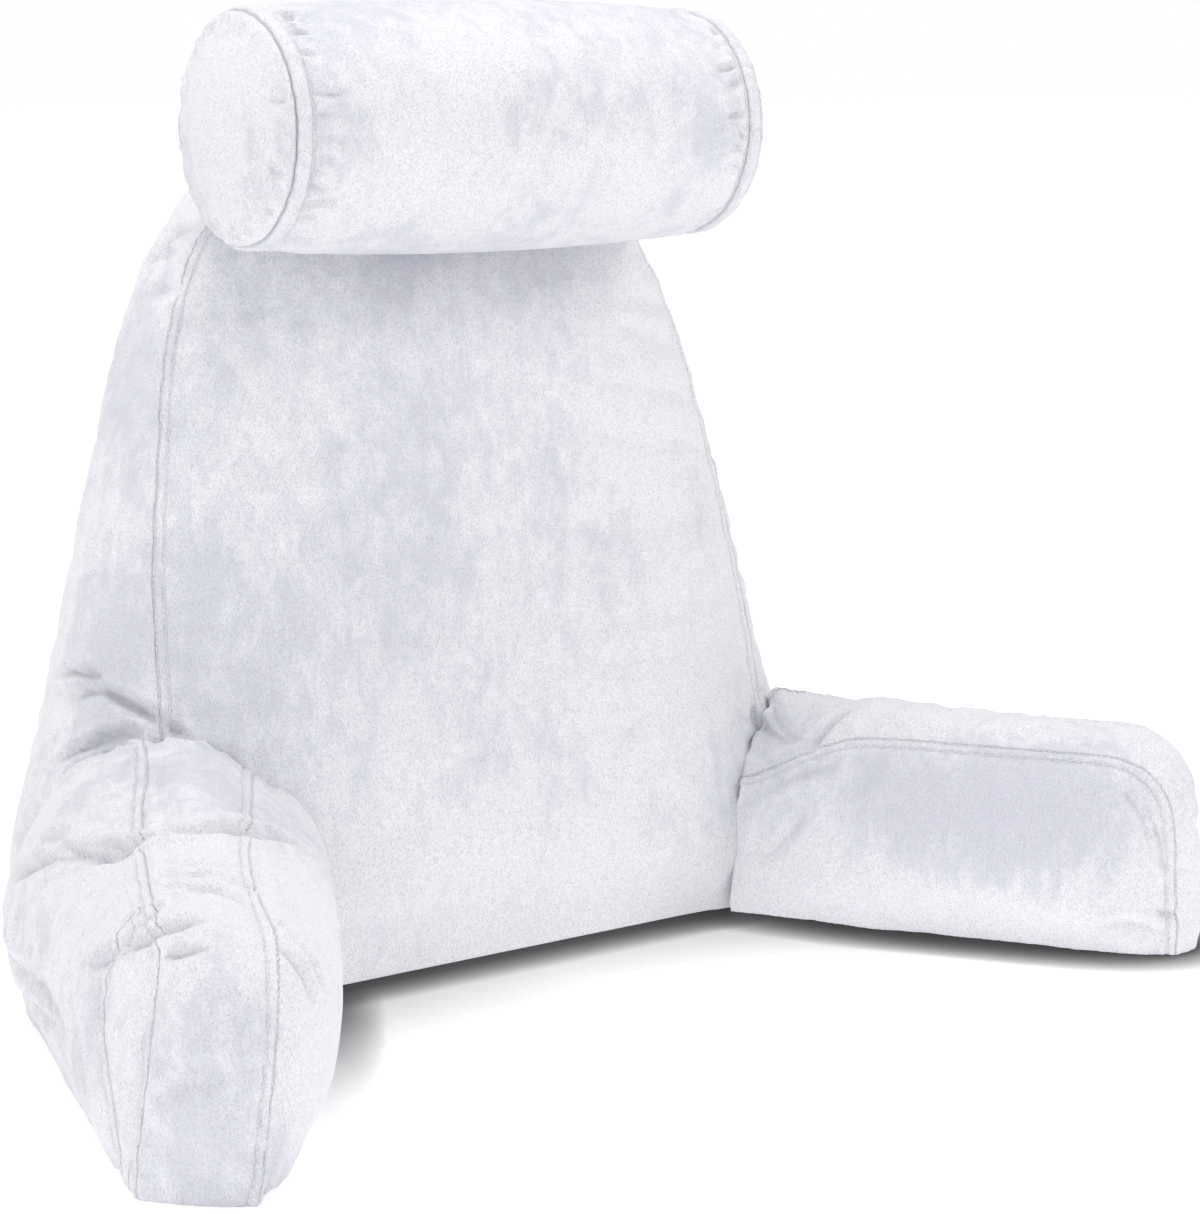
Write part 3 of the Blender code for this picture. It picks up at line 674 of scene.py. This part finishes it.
for side in (-1.0, 1.0):
    cushions["neck_roll"]["seams"].append(rollSeam(side * bandMiddle, rollLook["radius"], rollLook["centre"]))


# from the roll's centre: each point, its place along the roll and its distance from the axis
def placesInRoll(points):
    away = points - rollLook["centre"]
    return away, np.abs(away[:, 0]), lengths(away[:, 1:])


# fills the channels under the roll's bands and rounds the edges of its ends
def roundRim(points):
    rim, half = rollLook["rim"], rollLook["half"]
    away, along, radius = placesInRoll(points)
    past = np.clip((along - (half - rim["start"])) / rim["width"], 0.0, 1.0)
    wanted = rollLook["radius"] * (1.0 - rim["drop"] * past**1.6)
    inRim = (along > half - rim["inner"]) & (along < half + rim["outer"]) & (radius > rim["least"])
    grown = np.where(inRim & (radius < wanted), wanted / np.maximum(radius, 1e-6), 1.0)
    away[:, 1:] *= grown[:, None]
    return away + rollLook["centre"]


# sinks the roll's cloth under its bands
def sinkUnderBands(points):
    channel, width = rollLook["channel"], rollLook["bandWidth"]
    away, along, radius = placesInRoll(points)
    inner, outer = channel["edges"]
    under = 1.0 - easeIn(inner * width, outer * width, np.abs(along - bandMiddle))
    limit = np.where(radius > channel["least"], rollLook["radius"] - channel["depth"], radius)
    share = 1.0 + under * (np.minimum(limit / np.maximum(radius, 1e-6), 1.0) - 1.0)
    away[:, 1:] *= share[:, None]
    return away + rollLook["centre"]


# a copy of a solid, merged, drawn in a little and meshed evenly
def cushionCopy(name, look):
    mesh = bpy.data.meshes.new(name + "_cloth")
    shape = bmesh.new()
    shape.from_mesh(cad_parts[name].data)
    bmesh.ops.remove_doubles(shape, verts=shape.verts, dist=1e-5)
    bmesh.ops.recalc_face_normals(shape, faces=shape.faces)
    shape.to_mesh(mesh)
    shape.free()
    piece = addPiece(name + "_cloth", mesh, plush)
    drawIn = piece.modifiers.new("drawIn", "DISPLACE")
    drawIn.strength = -look["inset"]
    drawIn.mid_level = 0.0
    even = piece.modifiers.new("even", "REMESH")
    even.mode = "VOXEL"
    even.voxel_size = look["voxel"]
    bakeModifiers(piece)
    edges = getEdges(piece.data)
    points = soften(getPoints(piece.data), edges, look["softening"])
    if name == "neck_roll":
        points = roundRim(points)
    setPoints(piece.data, points)
    return piece


stuffing = {
    "quality": 5, "mass": 0.3, "tension_stiffness": 12.0, "compression_stiffness": 12.0,
    "shear_stiffness": 5.0, "bending_stiffness": 0.25, "use_pressure": True, "vertex_group_mass": "sewn",
}
stuffingFrames = 20


# fills the cushions: each is blown up a little between its sewn lines
def stuff(looks):
    for look in looks.values():
        piece = look["piece"]
        look["before"] = getPoints(piece.data)
        surface = surfaceOf(piece.data)
        look["lines"] = [snapPath(path, surface) for path in look["seams"]]
        look["lines"] = [line for line in look["lines"] if len(line) > 10]
        held = piece.vertex_groups.new(name="sewn")
        for line in look["lines"]:
            chosen, nearest, distances = nearPath(look["before"], line, 1.1 * look["voxel"])
            held.add([int(vertex) for vertex in chosen], 1.0, "REPLACE")
        cloth = piece.modifiers.new("stuffing", "CLOTH")
        for label, value in stuffing.items():
            setattr(cloth.settings, label, value)
        cloth.settings.uniform_pressure_force = look["pressure"]
        cloth.settings.shrink_min = -look["growth"]
        cloth.settings.effector_weights.gravity = 0.0
        cloth.collision_settings.use_collision = False
        cloth.collision_settings.use_self_collision = False
        cloth.point_cache.frame_start = 1
        cloth.point_cache.frame_end = stuffingFrames
    for step in range(1, stuffingFrames + 1):
        bpy.context.scene.frame_set(step)
    graph = bpy.context.evaluated_depsgraph_get()
    for look in looks.values():
        piece = look["piece"]
        filled = piece.evaluated_get(graph).to_mesh()
        look["after"] = getPoints(filled)
        piece.evaluated_get(graph).to_mesh_clear()
    for look in looks.values():
        look["piece"].modifiers.clear()
        look["piece"].vertex_groups.clear()
    bpy.context.scene.frame_set(1)


# keeps the broad swell within a cushion's cap, and keeps its wrinkles
def settle(look):
    broadPasses, wrinkleShare = 30, 0.45
    piece = look["piece"]
    edges = getEdges(piece.data)
    move = look["after"] - look["before"]
    broad = spread(move, edges, broadPasses)
    fine = move - broad
    for part, cap in ((broad, look["cap"]), (fine, wrinkleShare * look["cap"])):
        size = np.maximum(lengths(part), 1e-9)
        part *= (cap * np.tanh(size / cap) / size)[:, None]
    swell, wrinkles = (lengths(part).mean() * 1000 for part in (broad, fine))
    report(f"{piece.name} swell {swell:.1f} mm, wrinkles {wrinkles:.2f} mm")
    setPoints(piece.data, look["before"] + broad + fine)
    finer = piece.modifiers.new("finer", "SUBSURF")
    finer.levels = finer.render_levels = 1
    bakeModifiers(piece)


def storeFloats(mesh, name, values):
    layer = mesh.attributes.new(name, "FLOAT", "POINT")
    layer.data.foreach_set("value", values.astype(np.float32))


napAndPaintedLightColumns = ("place", "size", "amount")  # the first two in millimetres
napAndPaintedLightSpots = (
    # right arm: darker nap and painted shade above, painted light on its top and along the floor
    ((3.2E+2, -1.7E+2, 112), (1.2E+2, 1.5E+2, 45), 0.80),
    ((3.8E+2, -275, 5E+1), (3E+1, 3E+1, 5E+1), -0.30),
    ((3E+2, -1.5E+2, 1E+1), (2.5E+2, 2.5E+2, 4E+1), -0.60),
    ((3.3E+2, -6E+1, 175), (1.5E+2, 1.5E+2, 25), -0.60),
    # front panel: painted shade beside the left arm's root and under the roll, darker nap in the middle,
    # painted light on its right and along the floor
    ((-1.9E+2, 3E+1, 2.3E+2), (8E+1, 1E+2, 1.2E+2), 0.35),
    ((-2E+1, 6E+1, 4.7E+2), (2E+2, 1E+2, 5E+1), 0.15),
    ((-4E+1, 4E+1, 3E+2), (1.6E+2, 1E+2, 1.8E+2), 0.30),
    ((2.1E+2, 4E+1, 3.3E+2), (6E+1, 1E+2, 2.5E+2), -0.30),
    ((5E+1, 0, 3E+1), (2.6E+2, 1E+2, 6E+1), -0.40),
    # side strip above the left arm
    ((-3E+2, 9E+1, 2.5E+2), (6E+1, 6E+1, 6E+1), 0.45),
    ((-2.6E+2, 1.1E+2, 3.8E+2), (6E+1, 6E+1, 9E+1), 0.30),
    # left arm: darker nap and painted shade on its root and front strip, painted light on top and inside
    ((-285, -5E+1, 1.8E+2), (7E+1, 6E+1, 3E+1), 0.40),
    ((-365, -1.9E+2, 168), (5E+1, 5E+1, 3E+1), -0.80),
    ((-3.1E+2, -215, 1.6E+2), (5E+1, 5E+1, 4E+1), -0.60),
    ((-325, -2.9E+2, 9E+1), (4E+1, 6E+1, 9E+1), -0.60),
    ((-4.1E+2, -3.1E+2, 85), (5E+1, 4E+1, 6E+1), 0.60),
    ((-425, -3.1E+2, 2E+1), (5E+1, 4E+1, 4E+1), 0.35),
    # neck roll: darker nap patches, and lighter on its lower front
    ((1E+2, -4E+1, 6.2E+2), (8E+1, 6E+1, 5E+1), 0.30),
    ((0, 1E+1, 6.8E+2), (2.2E+2, 5E+1, 2E+1), 0.40),
    ((-5E+1, -4E+1, 5.6E+2), (1.2E+2, 6E+1, 3E+1), -0.30),
)


# how much each point is darkened by nap and painted shade, or whitened by painted light, from the spots
def napAndPaintedLightShare(points):
    share = np.zeros(len(points))
    for row in napAndPaintedLightSpots:
        spot = dict(zip(napAndPaintedLightColumns, row))
        place, size = np.array(inMetres(spot["place"])), np.array(inMetres(spot["size"]))
        away = lengths((points - pillowCentre - place) / size)
        share += spot["amount"] * np.exp(-(away**2))
    return share


footLook = {
    "facing": (0.35, 0.85),  # how far down cloth faces that starts to be pressed, and is pressed fully
    "heights": (0.010, 0.022),  # above the floor, pressed fully and not at all
    "press": 0.009,
    "sag": 0.006,
    "sagReach": 0.013,
    "straightTo": 0.07,  # height up to which an arm's foot is straightened
}


# the weight presses the bottom flat
def pressedHeights(points, normals):
    height = points[:, 2]
    under = easeIn(*footLook["facing"], -normals[:, 2]) * (1.0 - easeIn(*footLook["heights"], height))
    sag = footLook["sag"] * np.exp(-((height / footLook["sagReach"]) ** 2))
    return np.maximum(height - footLook["press"] * under - sag, 0.0)


# the crown of an arm's front end dies out towards the floor, where its foot is straight
def straightenFoot(points, edges, most):
    inner, outer = (np.array(inMetres(edges[side][-1])) + pillowCentre for side in ("inner", "outer"))
    ahead = np.cross(outer - inner, (0.0, 0.0, 1.0))
    ahead *= -np.sign(ahead[1]) / np.linalg.norm(ahead)
    past = np.maximum((points - inner) @ ahead, 0.0)
    share = most * (1.0 - easeIn(0.0, footLook["straightTo"], points[:, 2]))
    return points - np.outer(past * share, ahead)


def finishCushion(name, look, seed, surface):
    mesh = look["piece"].data
    points, normals = getPoints(mesh), getPoints(mesh, "normal")
    rows = rollGathers() if name == "neck_roll" else foldRows + look.get("lifts", ())
    points, crease = addFolds(points, normals, surface, rows)
    heights = np.zeros(len(points))
    offset, near = np.full(len(points), noSeam), np.zeros(len(points))
    sewn = dict(seamLook, **look.get("sewn", {}))
    for index, line in enumerate(look["lines"]):
        chosen, signed, along = seamPlaces(points, normals, line, sewn["reach"])
        heights[chosen] += seamHeights(signed, along, sewn, seed * 10 + index, len(line) * pathStep)
        nearer = np.abs(signed) < np.abs(offset[chosen])
        offset[chosen[nearer]] = signed[nearer]
        near[chosen[nearer]] = 1.0 - easeIn(*sewn["grooveEnds"], np.abs(signed[nearer]))
    points = points + normals * heights[:, None]
    points[:, 2] = pressedHeights(points, normals)
    if name == "neck_roll":  # its seams are under the bands, so they show no grooves
        points, near = sinkUnderBands(points), 0.0 * near
    if "straightFoot" in look:
        points = straightenFoot(points, armEdges[name], look["straightFoot"])
    setPoints(mesh, points)
    for label, values in (("seamOffset", offset), ("seamNear", near), ("crease", crease)):
        storeFloats(mesh, label, values)
    # darker nap, painted shade and painted light, placed by the spots
    storeFloats(mesh, "napAndPaintedLight", napAndPaintedLightShare(points))
    mesh.shade_smooth()
    report(f"{name} {len(mesh.polygons) * 2} triangles")


for name, look in cushions.items():
    look["piece"] = cushionCopy(name, look)
report("cushions meshed: " + ", ".join(str(len(look["piece"].data.polygons)) for look in cushions.values()))
stuff(cushions)
report("cushions stuffed")
for look in cushions.values():
    settle(look)
whole = surfaceOf(*(look["piece"].data for look in cushions.values()))
for seed, (name, look) in enumerate(cushions.items()):
    finishCushion(name, look, seed + 1, whole)
    dress(look["piece"], "plush", name)


bandRelief = (
    # share of the band's width from the barrel to the end disc, height above the cloth beside it,
    # and how much painted shade its crease gets
    (0.00, -0.0010, 0.0), (0.10, -0.0004, 0.0), (0.155, -0.0004, 0.1), (0.175, -0.0020, 0.7),
    (0.20, 0.0006, 0.1), (0.26, 0.0014, 0.0), (0.38, 0.0019, 0.0), (0.52, 0.0020, 0.0),
    (0.66, 0.0018, 0.0), (0.75, 0.0012, 0.0), (0.79, 0.0004, 0.2), (0.815, -0.0030, 1.0),
    (0.84, -0.0006, 0.2), (0.92, -0.0004, 0.0), (1.00, -0.0012, 0.0),
)
bandShape = {
    "turns": 360,
    "barrelOverlap": 0.0028,
    "discOverlap": 0.0026,
    "keelPlace": 0.45,  # where its closed inner side lies, in its widths, and how deep
    "keelDepth": 0.0058,
    "bulge": 0.6,
    "waves": 12,
    "waveCounts": (9, 60),
    "waveDraw": 0.45,
    "waveShift": 0.0004,
    "outside": 0.13,  # from the roll's axis, well clear of the cloth
}


# A band of doubled cloth, wavy where the stitches draw it in. bandRelief gives its cross-section.
def rollBand(name, side, surface):
    dice = np.random.default_rng(31 if side > 0 else 32)
    turns, outside = bandShape["turns"], bandShape["outside"]
    waves = []
    for wave in range(bandShape["waves"]):
        count = int(dice.integers(*bandShape["waveCounts"]))
        waves.append((count, dice.uniform(0.0, 6.3), dice.uniform(0.2, 1.0)))
    centre, radius = Vector(rollLook["centre"]), rollLook["radius"]
    start = rollLook["half"] - rollLook["bandWidth"] - bandShape["barrelOverlap"]
    end = rollLook["half"] + bandShape["discOverlap"]

    def onAxis(x):
        return centre + Vector((side * x, 0.0, 0.0))

    def clothRadius(x, out):
        spot, normal, index, distance = surface.ray_cast(onAxis(x) + out * outside, -out)
        return outside - distance if spot is not None else radius

    angles = [2.0 * math.pi * turn / turns for turn in range(turns)]
    outs = [Vector((0.0, math.cos(angle), math.sin(angle))) for angle in angles]
    edges = np.array([(clothRadius(start, out), clothRadius(end, out)) for out in outs])
    for step in range(4):
        edges = 0.5 * edges + 0.25 * (np.roll(edges, 1, axis=0) + np.roll(edges, -1, axis=0))
    points, faces = [], []
    for angle, out, (first, last) in zip(angles, outs, edges):
        ripple = sum(size * math.sin(count * angle + phase) for count, phase, size in waves) / 3.0
        for share, height, paintedShade in bandRelief:
            bulge = bandShape["bulge"] * max(radius - 0.5 * (first + last), 0.0) * math.sin(math.pi * share)
            draw = 1.0 + bandShape["waveDraw"] * ripple * math.cos(2.0 * math.pi * share)
            shift = bandShape["waveShift"] * ripple * math.cos(math.pi * share)
            place = onAxis(start + (end - start) * share + shift)
            points.append(place + out * (first + (last - first) * share + bulge + height * draw))
        keel = onAxis(start + bandShape["keelPlace"] * (end - start))
        points.append(keel + out * (radius - bandShape["keelDepth"]))
    ring = len(bandRelief) + 1
    for turn in range(turns):
        here, there = turn * ring, (turn + 1) % turns * ring
        for step in range(ring):
            after = (step + 1) % ring
            faces.append((here + step, there + step, there + after, here + after))
    mesh = bpy.data.meshes.new(name)
    mesh.from_pydata(points, [], faces)
    shape = bmesh.new()
    shape.from_mesh(mesh)
    bmesh.ops.recalc_face_normals(shape, faces=shape.faces)
    shape.to_mesh(mesh)
    shape.free()
    mesh.shade_smooth()
    storeFloats(mesh, "crease", np.tile([paintedShade for share, height, paintedShade in bandRelief] + [0.0], turns))
    for label, value in (("seamOffset", noSeam), ("seamNear", 0.0), ("napAndPaintedLight", 0.0)):
        storeFloats(mesh, label, np.full(len(points), value))
    return addPiece(name, mesh, bandPlush)


rollSurface = surfaceOf(cushions["neck_roll"]["piece"].data)
for side, node in ((-1.0, "roll_band_left"), (1.0, "roll_band_right")):
    band = rollBand(node + "_cloth", side, rollSurface)
    dress(band, "plush_band", node)
report("roll bands made")


# tree that lays short stitches along a line
def stitchTree():
    tree = bpy.data.node_groups.new("stitchLine", "GeometryNodeTree")
    for label in ("Geometry", "Step", "Length", "Radius", "Material"):
        kind = label if label in ("Geometry", "Material") else "Float"
        tree.interface.new_socket(label, in_out="INPUT", socket_type="NodeSocket" + kind)
    tree.interface.new_socket("Geometry", in_out="OUTPUT", socket_type="NodeSocketGeometry")
    nodes, links = tree.nodes, tree.links
    inlet, outlet = nodes.new("NodeGroupInput"), nodes.new("NodeGroupOutput")
    toCurve = nodes.new("GeometryNodeMeshToCurve")
    even = nodes.new("GeometryNodeResampleCurve")
    even.mode = "LENGTH"
    turn = nodes.new("FunctionNodeAlignRotationToVector")
    turn.axis = "Z"
    tangent, stitch, place, real, smooth, colour = (nodes.new("GeometryNode" + kind) for kind in (
        "InputTangent", "MeshUVSphere", "InstanceOnPoints",
        "RealizeInstances", "SetShadeSmooth", "SetMaterial"))
    for label, value in (("Segments", 6), ("Rings", 4), ("Radius", 1.0)):
        stitch.inputs[label].default_value = value
    size = nodes.new("ShaderNodeCombineXYZ")
    links.new(mathNode(tree, "MULTIPLY", inlet.outputs["Length"], 0.5), size.inputs["Z"])
    for source, output, target, socket in (
        (inlet, "Geometry", toCurve, "Mesh"),
        (toCurve, "Curve", even, "Curve"),
        (inlet, "Step", even, "Length"),
        (inlet, "Radius", size, "X"),
        (inlet, "Radius", size, "Y"),
        (tangent, "Tangent", turn, "Vector"),
        (even, "Curve", place, "Points"),
        (stitch, "Mesh", place, "Instance"),
        (turn, "Rotation", place, "Rotation"),
        (size, "Vector", place, "Scale"),
        (place, "Instances", real, "Geometry"),
        (real, "Geometry", smooth, "Geometry"),
        (smooth, "Geometry", colour, "Geometry"),
        (inlet, "Material", colour, "Material"),
        (colour, "Geometry", outlet, "Geometry"),
    ):
        links.new(source.outputs[output], target.inputs[socket])
    return tree


stitching = stitchTree()


# the two stitched lines of a seam, lying on the finished cloth
def stitchLines(mesh, lines):
    surface = surfaceOf(mesh)
    made = []
    for line in lines:
        tangents = np.gradient(line, axis=0)
        tangents /= lengths(tangents)[:, None]
        for offset in seamLook["span"]:
            row = []
            for point, tangent in zip(line, tangents):
                spot, normal, index, distance = surface.find_nearest(Vector(point))
                beside = spot + Vector(tangent).cross(normal) * offset
                spot, normal, index, distance = surface.find_nearest(beside)
                row.append(spot + normal * 0.5 * seamLook["stitch"]["Radius"])
            made.append(row)
    return made


def sewStitches(name, rows):
    lowest = 0.003  # no stitches where the cloth stands on the floor
    points, edges = [], []
    for row in rows:
        first = len(points)
        points += [tuple(point) for point in row if point[2] > lowest]
        edges += [(index, index + 1) for index in range(first, len(points) - 1)]
    mesh = bpy.data.meshes.new(name)
    mesh.from_pydata(points, edges, [])
    piece = addPiece(name, mesh, thread)
    modifier = piece.modifiers.new("stitches", "NODES")
    modifier.node_group = stitching
    values = {**seamLook["stitch"], "Material": thread}
    for socket in stitching.interface.items_tree:
        if socket.in_out == "INPUT" and socket.name in values:
            modifier[socket.identifier] = values[socket.name]
    bakeModifiers(piece)
    report(f"{name} {len(piece.data.polygons)} faces")
    return piece


for name, look in cushions.items():
    if name != "neck_roll":
        dress(sewStitches(name + "_stitches", stitchLines(look["piece"].data, look["lines"])), "plush")


studio = {
    "floor": (0.95, 0.95, 0.955),
    "floorHalf": 40.0,
    "floorRoughness": 0.9,
    "bounce": 0.32,  # light that the floor gives back, on top of what falls on it
    "whiteness": 0.58,  # the same as the camera sees it, away from the pillow's foot
    "shadowTint": (0.03, 0.03, 0.03),
    "shadows": ((0.050, 4.0, 1.0), (0.210, 2.0, 0.75)),  # reach over the floor, power and depth
    "shadowSamples": 8,
    "shadowStays": 0.25,  # the share of the shadow that the side light leaves
    "shadowFades": (
        # direction over the floor, where the shadow starts and where it is full
        ((0.810, -0.586, 0.0), -0.260, -0.170),
        ((0.586, 0.810, 0.0), -0.360, -0.060),
    ),
    "sky": (1.0, 1.0, 1.0),
    "skyStrength": 0.61,
    "lights": (
        # name, place, size, power
        ("keyPanel", (2.1, -1.7, 2.1), 1.2, 26.0),
        ("topPanel", (-0.3, 0.3, 2.6), 1.2, 28.0),
        ("sidePanel", (-2.4, -0.9, 1.3), 1.3, 12.5),
    ),
    "aim": (0.0, 0.0, 0.25),
}


def studioFloor():
    far = studio["floorHalf"]
    mesh = bpy.data.meshes.new("studioFloor")
    mesh.from_pydata([(-far, -far, 0), (far, -far, 0), (far, far, 0), (-far, far, 0)], [], [(0, 1, 2, 3)])
    material, tree, shader = newMaterial("paleFloor")
    nodes, links = tree.nodes, tree.links
    combine, times = partial(mathNode, tree), partial(mathNode, tree, "MULTIPLY")
    shader.inputs["Roughness"].default_value = studio["floorRoughness"]
    shader.inputs["Emission Color"].default_value = (1.0, 1.0, 1.0, 1.0)

    # how much of the sky the floor sees: less close to the pillow
    openSky = 1.0
    for reach, power, depth in studio["shadows"]:
        around = nodes.new("ShaderNodeAmbientOcclusion")
        around.samples = studio["shadowSamples"]
        around.inputs["Distance"].default_value = reach
        seenSky = combine("POWER", around.outputs["AO"], power)
        openSky = times(combine("MULTIPLY_ADD", seenSky, depth, 1.0 - depth), openSky)

    # the shadow is weaker on the sides that the panels light
    place = nodes.new("ShaderNodeTexCoord")
    share = 1.0
    for direction, start, full in studio["shadowFades"]:
        along = nodes.new("ShaderNodeVectorMath")
        along.operation = "DOT_PRODUCT"
        along.inputs[1].default_value = direction
        links.new(place.outputs["Object"], along.inputs[0])
        share = times(easeNode(tree, along.outputs["Value"], (start, full)), share)
    share = combine("MULTIPLY_ADD", share, 1.0 - studio["shadowStays"], studio["shadowStays"])
    openness = combine("SUBTRACT", 1.0, times(combine("SUBTRACT", 1.0, openSky), share))

    # only the camera sees the shadow; the pillow is lit by a plain floor
    seen = nodes.new("ShaderNodeLightPath").outputs["Is Camera Ray"]
    tint = mixColours(tree, openness, studio["shadowTint"], studio["floor"])
    links.new(mixColours(tree, seen, studio["floor"], tint), shader.inputs["Base Color"])
    glow = nodes.new("ShaderNodeMix")
    glow.data_type = "FLOAT"
    glow.inputs[2].default_value = studio["bounce"]
    links.new(seen, glow.inputs[0])
    links.new(times(openness, studio["whiteness"]), glow.inputs[3])
    links.new(glow.outputs[0], shader.inputs["Emission Strength"])
    floor = addPiece("studioFloor", mesh, material)


def studioLights():
    world = bpy.data.worlds.new("studioSky")
    world.use_nodes = True
    nodes, links = world.node_tree.nodes, world.node_tree.links
    sky, backdrop = nodes["Background"], nodes.new("ShaderNodeBackground")
    for source in (sky, backdrop):
        source.inputs["Color"].default_value = (*studio["sky"], 1.0)
    sky.inputs["Strength"].default_value = studio["skyStrength"]
    seen = nodes.new("ShaderNodeLightPath")
    choose = nodes.new("ShaderNodeMixShader")
    links.new(seen.outputs["Is Camera Ray"], choose.inputs["Fac"])
    links.new(sky.outputs["Background"], choose.inputs[1])
    links.new(backdrop.outputs["Background"], choose.inputs[2])
    links.new(choose.outputs["Shader"], nodes["World Output"].inputs["Surface"])
    bpy.context.scene.world = world
    for name, place, size, power in studio["lights"]:
        light = bpy.data.lights.new(name, "AREA")
        light.size = size
        light.energy = power
        lamp = bpy.data.objects.new(name, light)
        lamp.location = place
        lamp.rotation_mode = "QUATERNION"
        lamp.rotation_quaternion = (Vector(studio["aim"]) - Vector(place)).to_track_quat("-Z", "Y")
        bpy.context.scene.collection.objects.link(lamp)


cameraLook = {
    "place": (-1.1865, -1.7073, 0.6439),
    "azimuth": -35.87,
    "elevation": 10.3,
    "lens": 88.96,
    "sensor": 36.0,
}


def studioCamera():
    azimuth, elevation = math.radians(cameraLook["azimuth"]), math.radians(cameraLook["elevation"])
    back = Vector((math.sin(azimuth) * math.cos(elevation), -math.cos(azimuth) * math.cos(elevation),
                   math.sin(elevation)))
    right = Vector((math.cos(azimuth), math.sin(azimuth), 0.0))
    up = back.cross(right)
    data = bpy.data.cameras.new("studioCamera")
    data.lens = cameraLook["lens"]
    data.sensor_width = cameraLook["sensor"]
    camera = bpy.data.objects.new("studioCamera", data)
    turn = Matrix((right, up, back)).transposed().to_4x4()
    camera.matrix_world = Matrix.Translation(cameraLook["place"]) @ turn
    bpy.context.scene.collection.objects.link(camera)
    bpy.context.scene.camera = camera


studioFloor()
studioLights()
studioCamera()
bpy.context.scene.view_settings.view_transform = "Standard"
report("studio ready")
